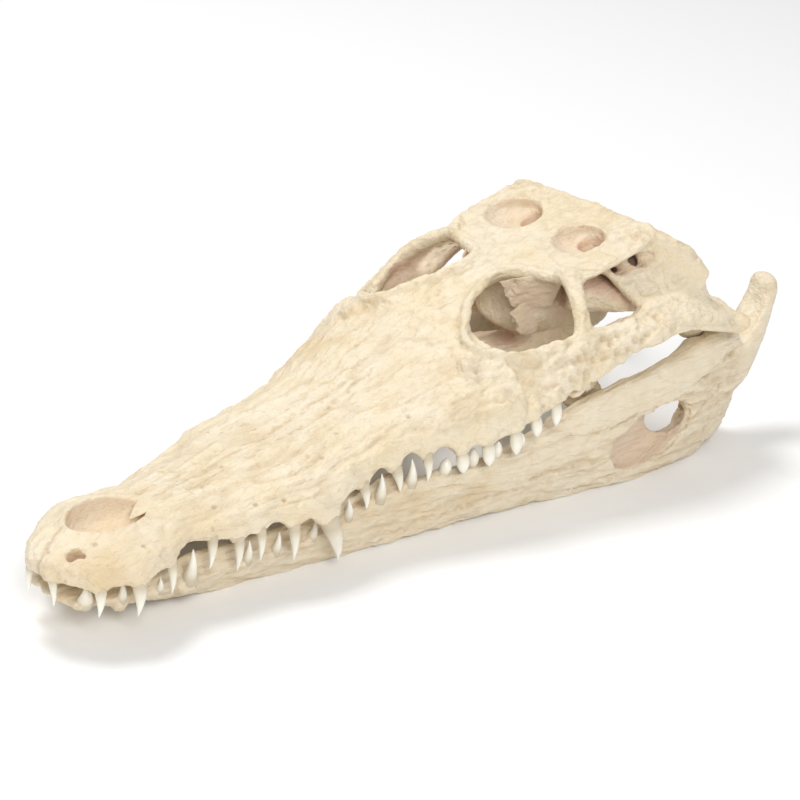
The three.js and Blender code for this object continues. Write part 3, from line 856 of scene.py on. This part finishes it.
def cheek_room(side):
    """The room of one cheek: outside its inner planes and under the table's sloping edge."""
    far, front, front_inside, under, rise, rearwards = 60, 79, 8.3, 26.3, 0.19, 11
    half = far / 2
    rear_box = corner_box(
        (CHEEK_INSIDE, front, under), (half, rearwards, -half), far, math.atan(rise), side)
    front_box = corner_box((front_inside, front, under), (half, -half, -half), far, 0, side)
    combine(rear_box, front_box, "UNION")
    return rear_box


def half_space(y_limit):
    """A large block in front of a plane across the skull."""
    deselect_all()
    bpy.ops.mesh.primitive_cube_add(size=1, location=(0, to_metres((0, y_limit, 0))[1] - 0.5, 0))
    block = bpy.context.object
    bpy.ops.object.transform_apply(location=True, rotation=False, scale=False)
    return block


def make_upper_skull():
    whole, places, shut = blended("upper_skull", skull_forms, skull_openings, 2)
    work_surface(whole, skull_surface, skull_joints(), places, shut)
    snout = copy_of(whole, "snout_bone")
    combine(snout, half_space(SNOUT_END), "INTERSECT")
    combine(whole, half_space(SNOUT_END), "DIFFERENCE")
    cheeks = []
    for side, name in ((1, "cheek_left_bone"), (-1, "cheek_right_bone")):
        cheek = copy_of(whole, name)
        combine(cheek, cheek_room(side), "INTERSECT")
        cheeks.append(cheek)
    for side in (1, -1):
        combine(whole, cheek_room(side), "DIFFERENCE")
    whole.name = "cranium_bone"
    return [snout, whole] + cheeks


# Thin broken bones inside the eye openings
def ragged_plate(low_edge, high_edge, thick, seed):
    """A thin plate whose front end is broken off unevenly."""
    sheet = plate(low_edge, high_edge, [(0, thick * 0.5), (0.4, thick), (1, thick)], sides=72, steps=60)
    points = to_hundredths(corners_of(sheet))
    front = 1 - blend(0, 5, points[:, 1] - points[:, 1].min())
    across = points * np.array([1, 0, 1])
    bite = 1.3 * rough(across, 2.2, seed) + 0.5 * rough(across, 0.6, seed + 9)
    points[:, 1] += front * (1.2 + bite)
    points[:, 0] += 0.25 * rough(points, 3, seed + 20)
    set_corners(sheet, to_metres(points))
    return sheet


def eye_wing():
    """The thin bone that stands at the rear of an eye opening, under the table."""
    low_edge = [(4.2, 76.5, 23.2), (4.8, 80, 22), (5.6, 84, 21.6)]
    high_edge = [(3.6, 73.6, 27), (5.6, 78, 27.4), (8.2, 83, 27.8)]
    return ragged_plate(low_edge, high_edge, 0.45, 201)


def left_shard():
    low_edge = [(5.4, 76, 20), (5.2, 79, 18.8), (4.4, 83, 18)]
    high_edge = [(5.2, 75.6, 22.8), (5.2, 78.6, 23.4), (4.4, 83, 22.6)]
    return ragged_plate(low_edge, high_edge, 0.35, 231)


def right_shard():
    low_edge = [(-5.4, 77, 19), (-5.2, 80, 18), (-4.4, 83, 17.6)]
    high_edge = [(-5, 77.4, 21.6), (-5.2, 80, 22), (-4.4, 83, 22)]
    return ragged_plate(low_edge, high_edge, 0.35, 251)


def nasal_spike():
    """The splinter of bone that points forwards over the rear of the nose opening."""
    return limb(
        [(0.6, 17.6, 12.5), (1.1, 15.4, 12.5), (1.5, 13.9, 12.3), (1.7, 12.7, 12)],
        [(0, 1.6), (0.4, 1), (0.75, 0.5), (1, 0.05)], [(0, 0.35), (1, 0.08)])


def make_thin_bones():
    sheets = both_sides([eye_wing()]) + [left_shard(), right_shard(), nasal_spike()]
    bones = joined(sheets, "thin_bones")
    face_outwards(bones)
    along = to_hundredths(corners_of(bones))[:, 1]
    set_value(bones, "shade_and_joint", np.zeros(len(along)))
    # The thin bones behind the snout count as partly closed in, so the finish paints them a darker pink,
    # partly the inner bone's tone and partly painted shade.
    set_value(bones, "shut", 0.6 * blend(20, 40, along))
    return bones


# Lower jaw
def jaw_blade():
    front, rear, square = 1.9, 110, 0.62

    def place(turn, along):
        y = front + (rear - front) * along ** 1.12
        across, up = power(np.sin(turn), square), power(np.cos(turn), square)
        inner = np.maximum(jaw_inner(y), JAW_MIDDLE)
        outer = jaw_bottom_outer(y) + (jaw_top_outer(y) - jaw_bottom_outer(y)) * (up + 1) / 2
        x = inner + (outer - inner) * (across + 1) / 2
        return np.stack([x, y, jaw_bottom(y) + (jaw_top(y) - jaw_bottom(y)) * (up + 1) / 2], -1)

    return rolled(64, 260, place)


def jaw_spur():
    """The end of the jaw behind its joint, which curves up."""
    shaft = limb(
        [(17.8, 104, 9), (17.9, 110, 10.6), (17.5, 114.8, 15.4), (17.2, 117.6, 20.6)],
        [(0, 3.2), (0.5, 2.8), (1, 2.1)], [(0, 5.5), (0.4, 3), (0.8, 1.6), (1, 1.2)],
        lie=(0, -0.6, 0.8), sides=32)
    return [shaft, ball((17.2, 117.3, 20.4), (2.2, 1.5, 1.9))]


def lower_tooth_line(side, y):
    return side * float(jaw_top_outer(y) - 1)


def lower_bulges():
    """Swellings of the lower jaw under its teeth."""
    bulges = []
    for place, _, radius, _ in LOWER_TEETH:
        deep = min(1.4, 0.6 * float(jaw_top(place) - jaw_bottom(place)))
        middle = (lower_tooth_line(1, place), place, jaw_top(place) - 0.6 * deep)
        bulges.append(ball(middle, (radius * 1.2, radius * 1.5, deep), segments=16))
    return bulges


def socket_ridge():
    """The inner wall of the tooth sockets, which stands higher than their outer wall."""
    places = [12, 16, 20, 25, 30, 36, 43, 51]
    path = [(jaw_top_outer(y) - 2.4, y, jaw_top(y) + 0.3) for y in places]
    return limb(path, [(0, 0.7), (1, 0.9)], [(0, 0.6), (0.2, 1.5), (0.7, 1.6), (1, 0.8)], sides=20, steps=60)


def jaw_forms():
    return [jaw_blade(), socket_ridge()] + jaw_spur() + lower_bulges()


def jaw_window():
    """The window in the side of the jaw, sunk into the bone from outside."""
    return limb(
        [(17.2, 90.6, 6), (24, 90.6, 6)], [(0, 6.6), (0.2, 7.4), (1, 7.7)],
        [(0, 2.9), (0.2, 3.5), (1, 3.6)], lie=(0, -0.25, 0.97), sides=48, square=0.9)


def jaw_openings():
    window_depth = ball((16, 98.4, 6.4), (3.6, 6, 3.4), tilt=-0.15, segments=40)
    spur_front = ball((18.4, 113.1, 18.8), (1.5, 2.4, 4.6), tilt=-0.45)
    inner_hollow = ball((14.8, 91, 9), (1.9, 9, 3.4), segments=40)
    spur_hollow = ball((17.6, 112.2, 18.8), (1.9, 3.4, 2.6))
    hollows = [jaw_window(), window_depth, spur_front, inner_hollow, spur_hollow]
    return hollows + [joint_shaft(JOINT_ROOM)] + knuckles(JOINT_ROOM)


def upper_band_share(y, z):
    """1 on the smooth rear upper edge of the jaw, which overlaps the bone in front of it with a step."""
    lower_edge = curve([(74, 9.4), (81, 8.9), (88.3, 10.1), (94.7, 10.4), (97.6, 11.7), (108.4, 13.9)])
    front_edge = 76.3 - (z - 9.2) * 0.4
    return blend(0, 0.3, z - lower_edge(y)) * blend(0, 0.35, y - front_edge)


def spur_share(at):
    return blend(108, 111, at.y)


def jaw_grain(at, band_share):
    """Streaks and lines along the jaw, falling a little to its rear: how high, and how dark as painted shade
    in the low streaks and the lines.
    """
    slant = np.stack([at.points[:, 0], at.y, at.z + 0.06 * at.y], -1)
    streaks = 0.5 - np.abs(rough(slant, 1.2, 111, (1, 13, 0.8)))
    grained = (1 - 0.9 * band_share) * at.open_air * (0.4 + 0.6 * blend(20, 50, at.y))
    grained *= 1 - spur_share(at)
    lines = veins(slant, 2.2, 115, (1, 10, 0.8)) * grained
    dark = 0.2 * blend(0, 0.5, -streaks) * grained + 0.4 * lines
    return 1.9 * streaks * grained - 0.8 * lines, dark


def jaw_pits(at, band_share, outside):
    """Pits on the jaw's front, behind its window and along its lower edge: how high, and how dark as painted
    shade in the pits.
    """
    hollow = bowls(at.points, 1.2, 131, (1, 1.6, 0.8))
    front = (1 - blend(40, 70, at.y)) * outside
    behind_window = band(98, 108, 3, at.y) * band(4, 13, 2, at.z) * (1 - band_share)
    low = band(72, 104, 6, at.y) * (1 - blend(1.5, 3.5, at.z))
    height = -(0.7 * front + 1.3 * behind_window + 0.7 * low) * hollow * at.open_air
    return height, hollow * (0.35 * front + 0.5 * behind_window + 0.35 * low)


def window_share(at):
    """1 on the sunken bone inside the window in the side of the jaw."""
    share = np.clip((at.z - jaw_bottom(at.y)) / (jaw_top(at.y) - jaw_bottom(at.y)), 0, 1)
    face = jaw_bottom_outer(at.y) + (jaw_top_outer(at.y) - jaw_bottom_outer(at.y)) * share
    sunken = blend(0.6, 1.1, face - at.x) * blend(16.6, 17, at.x)
    return sunken * band(*WINDOW_ALONG, 0.5, at.y) * band(*WINDOW_UP, 0.4, at.z)


def jaw_surface(points, normals, shut):
    """The same three values for the lower jaw."""
    at = Spots(points, normals, shut, 0.4, 0.75)
    outside = blend(0, 0.4, np.sign(points[:, 0]) * normals[:, 0])
    band_share = upper_band_share(at.y, at.z) * (1 - blend(100, 108, at.y))
    window = window_share(at)
    layers = [jaw_grain(at, band_share), jaw_pits(at, band_share, outside)]
    height = sum(raised for raised, _ in layers)
    height += 0.5 * rough(points, 2.4, 103) * (1 - 0.6 * spur_share(at))
    height += 1.1 * band_share * outside * blend(75, 77, at.y)
    height += 0.25 * rough(points, 0.8, 105, (1, 1.6, 1)) * at.open_air * (1 - 0.7 * band_share)
    # The darkening is painted shade in streaks, lines and pits; the sunken bone in the window counts as
    # closed in, so the finish paints shade and a darker pink there.
    dark = sum(darkened for _, darkened in layers) * at.open_air * (1 - window)
    return height * (1 - 0.85 * window), dark, np.maximum(shut, 0.66 * window)


def jaw_joints():
    side = [
        [(17.6, 75.2, 11), (17.9, 76.5, 9.3), (18.6, 81, 8.9), (19.6, 88.3, 10.1), (20.6, 94.7, 10.4),
         (20.8, 98, 11.8), (20.8, 103, 13), (20, 108.4, 13.9)],
        [(16.2, 70, 4.6), (17.6, 76, 4.4), (19.4, 83, 4.6)],
        [(20.6, 97, 5.6), (21, 101, 8), (20.6, 105, 10), (19.8, 109, 12.6)],
        [(9.4, 42, 1.6), (12.6, 56, 2.4), (16, 69, 3.4), (18.4, 78, 2.6)],
    ]
    return lines_of_both_sides(side)


def keep_to_its_side(jaw, side):
    """Keeps one side of the jaw above the floor and off the middle."""
    corners = corners_of(jaw)
    corners[:, 2] = np.maximum(corners[:, 2], 0)
    corners[:, 0] = side * np.maximum(side * corners[:, 0], JAW_MIDDLE * UNIT)
    set_corners(jaw, corners)


def make_lower_jaw():
    left, places, shut = blended("mandible_left_bone", jaw_forms, jaw_openings, 1)
    right = mirrored(left, "mandible_right_bone")
    for side, jaw in ((1, left), (-1, right)):
        own_places = places * np.array([side, 1, 1])
        work_surface(jaw, jaw_surface, jaw_joints(), own_places, shut)
        keep_to_its_side(jaw, side)
    return [left, right]


# Teeth
def model_tooth(name, rings):
    """A tooth of length and radius 1, its root at the origin: a disc drawn out ring by ring to its tip."""
    deselect_all()
    bpy.ops.mesh.primitive_circle_add(vertices=20, radius=rings[0][1], fill_type="NGON")
    tooth = bpy.context.object
    bpy.ops.object.mode_set(mode="EDIT")
    bpy.ops.mesh.select_all(action="SELECT")
    level, size, lean = 0, rings[0][1], 0
    for next_level, next_size, next_lean in rings[1:]:
        shift = (next_lean - lean, 0, next_level - level)
        bpy.ops.mesh.extrude_region_move(TRANSFORM_OT_translate={"value": shift})
        grow = next_size / size
        bpy.ops.transform.resize(value=(grow, grow, 1), center_override=(next_lean, 0, next_level))
        level, size, lean = next_level, next_size, next_lean
    bpy.ops.mesh.select_all(action="SELECT")
    bpy.ops.mesh.normals_make_consistent(inside=False)
    bpy.ops.object.mode_set(mode="OBJECT")
    apply_modifier(tooth, "SUBSURF", levels=1, render_levels=1)
    set_value(tooth, "way", corners_of(tooth)[:, 2])
    tooth.name = name
    return tooth


def pointed_tooth():
    return model_tooth("pointed", [
        (0, 1, 0), (0.12, 1.02, 0.1), (0.3, 0.9, 0.3), (0.5, 0.7, 0.42), (0.7, 0.46, 0.4), (0.86, 0.24, 0.22),
        (0.96, 0.1, 0.06), (1, 0.03, 0)])


def blunt_tooth():
    return model_tooth("blunt", [
        (0, 0.72, 0), (0.2, 0.74, 0.02), (0.42, 0.95, 0.08), (0.62, 1, 0.1), (0.78, 0.82, 0.06),
        (0.9, 0.52, 0.02), (0.97, 0.22, 0), (1, 0.05, 0)])


def set_tooth(pattern, root, tip, radius, out):
    """A copy of the pattern from its root to its tip, bulging outwards."""
    tooth = copy_of(pattern, "tooth")
    start, end = Vector(to_metres(root)), Vector(to_metres(tip))
    up = (end - start).normalized()
    side = Vector((out, 0, 0))
    side = (side - up * side.dot(up)).normalized()
    turn = Matrix((side, up.cross(side), up)).transposed().to_4x4()
    size = Matrix.Diagonal((radius * UNIT, radius * UNIT, (end - start).length, 1))
    tooth.data.transform(Matrix.Translation(start) @ turn @ size)
    return tooth


def tooth_row(name, teeth, side, centre, level, up, sunk, patterns):
    copies = []
    for place, length, radius, lean, splay in teeth:
        x, z = float(centre(side, place)), float(level(place))
        root = (x, place, z - up * sunk)
        tip = (x + side * splay, place + lean, z + up * length)
        pattern = patterns[1] if place > BLUNT_FROM else patterns[0]
        copies.append(set_tooth(pattern, root, tip, radius * SOCKET_SHARE, side))
    row = joined(copies, name)
    face_outwards(row)
    return row


def make_teeth():
    patterns = [pointed_tooth(), blunt_tooth()]
    rows = []
    for side, word in ((1, "left"), (-1, "right")):
        upper = [tooth + (USUAL_SPLAY,) for tooth in UPPER_TEETH]
        lower = [tooth + (USUAL_SPLAY,) for tooth in LOWER_TEETH]
        fourth = LOWER_TEETH[FOURTH] if side > 0 else RIGHT_FOURTH
        lower[FOURTH] = fourth + (FOURTH_SPLAY[side],)
        rows.append(tooth_row(
            f"teeth_upper_{word}", upper, side, upper_tooth_line, margin_line, -1, 1.2, patterns))
        rows.append(tooth_row(
            f"teeth_lower_{word}", lower, side, lower_tooth_line, jaw_top, 1, 1, patterns))
    for pattern in patterns:
        bpy.data.objects.remove(pattern)
    return rows


# Finishes
class Finish:
    """Builds one material step by step."""

    def __init__(self, name):
        self.material = bpy.data.materials.new(name)
        self.material.use_nodes = True
        self.nodes = self.material.node_tree.nodes
        self.links = self.material.node_tree.links
        self.shader = self.nodes["Principled BSDF"]
        self.place = self.nodes.new("ShaderNodeTexCoord").outputs["Object"]

    def connect(self, output, socket):
        self.links.new(output, socket)

    def stretched(self, scale):
        mapping = self.nodes.new("ShaderNodeMapping")
        mapping.inputs["Scale"].default_value = scale
        self.connect(self.place, mapping.inputs["Vector"])
        return mapping.outputs["Vector"]

    def noise(self, size, detail=4, scale=(1, 1, 1), roughness=0.55):
        texture = self.nodes.new("ShaderNodeTexNoise")
        texture.inputs["Scale"].default_value = 1 / size
        texture.inputs["Detail"].default_value = detail
        texture.inputs["Roughness"].default_value = roughness
        self.connect(self.stretched(scale), texture.inputs["Vector"])
        return texture.outputs["Fac"]

    def cells(self, size, scale=(1, 1, 1)):
        texture = self.nodes.new("ShaderNodeTexVoronoi")
        texture.inputs["Scale"].default_value = 1 / size
        self.connect(self.stretched(scale), texture.inputs["Vector"])
        return texture.outputs["Distance"]

    def value(self, name):
        attribute = self.nodes.new("ShaderNodeAttribute")
        attribute.attribute_name = name
        return attribute.outputs["Fac"]

    def ramp(self, source, stops):
        """Colours or greys by a value, as (value, colour) stops."""
        ramp = self.nodes.new("ShaderNodeValToRGB")
        elements = ramp.color_ramp.elements
        while len(elements) < len(stops):
            elements.new(0.5)
        for element, (place, colour) in zip(elements, stops):
            element.position = place
            shade = colour if isinstance(colour, tuple) else (colour,) * 3
            element.color = (*shade, 1)
        self.connect(source, ramp.inputs["Fac"])
        return ramp.outputs["Color"]

    def mix(self, share, first, second, kind="MIX"):
        mixer = self.nodes.new("ShaderNodeMix")
        mixer.data_type = "RGBA"
        mixer.blend_type = kind
        sockets = [mixer.inputs[0], mixer.inputs[6], mixer.inputs[7]]
        for socket, what in zip(sockets, (share, first, second)):
            if isinstance(what, bpy.types.NodeSocket):
                self.connect(what, socket)
            elif isinstance(what, tuple):
                socket.default_value = (*what, 1)
            else:
                socket.default_value = what
        return mixer.outputs[2]

    def maths(self, kind, first, second):
        node = self.nodes.new("ShaderNodeMath")
        node.operation = kind
        for socket, what in zip(node.inputs, (first, second)):
            if isinstance(what, bpy.types.NodeSocket):
                self.connect(what, socket)
            else:
                socket.default_value = what
        return node.outputs["Value"]

    def bump(self, height, distance, strength, before=None):
        node = self.nodes.new("ShaderNodeBump")
        node.inputs["Strength"].default_value = strength
        node.inputs["Distance"].default_value = distance
        self.connect(height, node.inputs["Height"])
        if before:
            self.connect(before, node.inputs["Normal"])
        return node.outputs["Normal"]

    def waxy(self, weight, radius, scale):
        """Lets light in a little way and out again."""
        self.shader.inputs["Subsurface Weight"].default_value = weight
        self.shader.inputs["Subsurface Radius"].default_value = radius
        self.shader.inputs["Subsurface Scale"].default_value = scale


def bone_colour(finish, base, warm, grain):
    """Cream clouds with paler patches, specks, stains and hairlines; a brown for the dark joints and for
    painted shade in grooves, pits and holes; and a darker pink where the bone is closed in, partly its inner
    tone and partly painted shade.
    """
    pale, speck, stain = (0.88, 0.8, 0.64), (0.5, 0.33, 0.16), (0.68, 0.5, 0.27)
    # The colours below are a brown for the dark joints and for painted shade in grooves, pits and holes, a
    # hairline colour, and a darker pink for closed-in places, partly the inner bone's tone and partly painted
    # shade.
    shade_and_joint, hairline, inside = (0.47, 0.31, 0.15), (0.6, 0.45, 0.24), (0.68, 0.47, 0.37)
    colour = finish.ramp(finish.noise(0.03, 5), [(0.35, base), (0.7, warm)])
    patches = finish.ramp(finish.noise(0.008, 3), [(0.42, 0.0), (0.75, 0.35)])
    colour = finish.mix(patches, colour, pale)
    specks = finish.ramp(finish.cells(0.009), [(0.0, 0.5), (0.09, 0.0)])
    colour = finish.mix(specks, colour, speck)
    stains = finish.ramp(finish.noise(0.05, 6, (1, 0.6, 1)), [(0.54, 0.0), (0.72, 0.55)])
    colour = finish.mix(stains, colour, stain)
    # Darkens towards brown: the dark joints between bones, and painted shade in grooves, pits, holes and low
    # places.
    grooves = finish.maths("MULTIPLY", finish.value("shade_and_joint"), 0.5)
    colour = finish.mix(grooves, colour, shade_and_joint)
    hairlines = finish.ramp(finish.noise(0.011, 3, grain), [(0.48, 0.0), (0.5, 0.28), (0.52, 0.0)])
    colour = finish.mix(hairlines, colour, hairline)
    # Where the bone is closed in the colour turns a darker pink: partly the inner bone's tone, partly painted
    # shade.
    inner_tone_and_shade = finish.ramp(finish.value("shut"), [(0.45, 0.0), (0.85, 0.75)])
    return finish.mix(inner_tone_and_shade, colour, inside)


def bone_relief(finish, grain):
    """Lumps and lines along the grain, and pores."""
    lumps = finish.bump(finish.noise(0.007, 3, grain), 0.0025, 0.6)
    lines = finish.bump(finish.noise(0.0028, 5, grain), 0.0018, 0.8, lumps)
    return finish.bump(finish.cells(0.0015, (1, 0.6, 1)), 0.0004, 0.4, lines)


def bone_finish(name, base, warm, grain):
    finish = Finish(name)
    finish.connect(bone_colour(finish, base, warm, grain), finish.shader.inputs["Base Color"])
    dullness = finish.ramp(finish.noise(0.012, 3), [(0.3, 0.5), (0.7, 0.68)])
    finish.connect(dullness, finish.shader.inputs["Roughness"])
    finish.shader.inputs["Specular IOR Level"].default_value = 0.35
    finish.waxy(0.12, (1.0, 0.6, 0.35), 0.003)
    finish.connect(bone_relief(finish, grain), finish.shader.inputs["Normal"])
    return finish.material


def enamel_finish():
    """Brown at the root, cream and then nearly white towards the tip, under a thin gloss."""
    finish = Finish("enamel")
    body = finish.ramp(finish.value("way"), [
        (0.25, (0.6, 0.52, 0.38)),
        (0.42, (0.8, 0.75, 0.62)),
        (0.7, (0.92, 0.89, 0.79)),
        (1.0, (0.95, 0.93, 0.86)),
    ])
    lines = finish.ramp(finish.noise(0.004, 4, (1, 1, 0.15)), [(0.45, 0.0), (0.75, 0.25)])
    finish.connect(finish.mix(lines, body, (0.62, 0.55, 0.42)), finish.shader.inputs["Base Color"])
    finish.shader.inputs["Roughness"].default_value = 0.22
    finish.waxy(0.3, (0.8, 0.8, 0.9), 0.002)
    finish.shader.inputs["Coat Weight"].default_value = 0.35
    finish.shader.inputs["Coat Roughness"].default_value = 0.12
    ribs = finish.bump(finish.noise(0.0016, 3, (1, 1, 0.08)), 0.0003, 0.3)
    finish.connect(ribs, finish.shader.inputs["Normal"])
    return finish.material


def dress(piece, material):
    piece.data.materials.clear()
    piece.data.materials.append(material)
    take(piece)
    bpy.ops.object.shade_smooth_by_angle(angle=math.radians(55))


# Floor, light and camera
def make_floor():
    deselect_all()
    bpy.ops.mesh.primitive_plane_add(size=8, location=(0, 0, 0))
    floor = bpy.context.object
    floor.name = "floor"
    finish = Finish("pale_floor")
    finish.shader.inputs["Base Color"].default_value = (0.96, 0.96, 0.96, 1)
    finish.shader.inputs["Roughness"].default_value = 0.9
    finish.shader.inputs["Specular IOR Level"].default_value = 0.1
    floor.data.materials.append(finish.material)


def area_light(name, place, aim, size, watts):
    data = bpy.data.lights.new(name, "AREA")
    data.shape = "DISK"
    data.size = size
    data.energy = watts
    lamp = bpy.data.objects.new(name, data)
    lamp.location = place
    lamp.rotation_euler = (Vector(aim) - Vector(place)).to_track_quat("-Z", "Y").to_euler()
    bpy.context.scene.collection.objects.link(lamp)


def make_light():
    scene = bpy.context.scene
    scene.view_settings.view_transform = "Standard"
    world = bpy.data.worlds.new("studio")
    world.use_nodes = True
    background = world.node_tree.nodes["Background"]
    background.inputs["Color"].default_value = (1, 1, 1, 1)
    background.inputs["Strength"].default_value = 0.46
    scene.world = world
    area_light("key", (-0.9, -0.1, 2.0), (0, 0, 0.05), 0.8, 24)
    area_light("front", (1.5, -1.1, 1.5), (0, 0, 0.05), 1.0, 25)


def make_camera():
    """The camera, placed so that its picture matches the photograph."""
    azimuth, elevation, roll = math.radians(40.849), math.radians(25.370), math.radians(-4.768)
    distance = 331.30 * UNIT
    target = Vector(to_metres((0, 61.329, 12.444)))
    picture_width, focal_pixels, sensor = 800, 2530.35, 36
    level = Vector((math.cos(azimuth), math.sin(azimuth), 0))
    ahead = Vector((math.sin(azimuth), -math.cos(azimuth), 0))
    back = ahead * math.cos(elevation) + Vector((0, 0, math.sin(elevation)))
    upright = back.cross(level)
    right = level * math.cos(roll) - upright * math.sin(roll)
    up = level * math.sin(roll) + upright * math.cos(roll)
    data = bpy.data.cameras.new("camera")
    data.sensor_width = sensor
    data.lens = focal_pixels / picture_width * sensor
    camera = bpy.data.objects.new("camera", data)
    matrix = Matrix((right, up, back)).transposed().to_4x4()
    matrix.translation = target + back * distance
    camera.matrix_world = matrix
    bpy.context.scene.collection.objects.link(camera)
    bpy.context.scene.camera = camera


# The whole model
make_camera()
make_light()
make_floor()
bone = bone_finish("dry_bone", (0.85, 0.75, 0.58), (0.8, 0.67, 0.45), (1, 0.35, 1))
jaw_bone = bone_finish("dry_jaw_bone", (0.83, 0.74, 0.58), (0.78, 0.66, 0.47), (1, 0.12, 1))
enamel = enamel_finish()

upper_nodes = ["snout", "cranium", "cheek_left", "cheek_right"]
for piece, node in zip(make_upper_skull(), upper_nodes):
    dress(piece, bone)
    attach(piece, "root")
    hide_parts(node)
for piece, node in zip(make_lower_jaw(), ["mandible_left", "mandible_right"]):
    dress(piece, jaw_bone)
    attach(piece, "root")
    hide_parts(node)
thin_bones = make_thin_bones()
dress(thin_bones, bone)
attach(thin_bones, "root")
for row in make_teeth():
    dress(row, enamel)
    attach(row, "root")
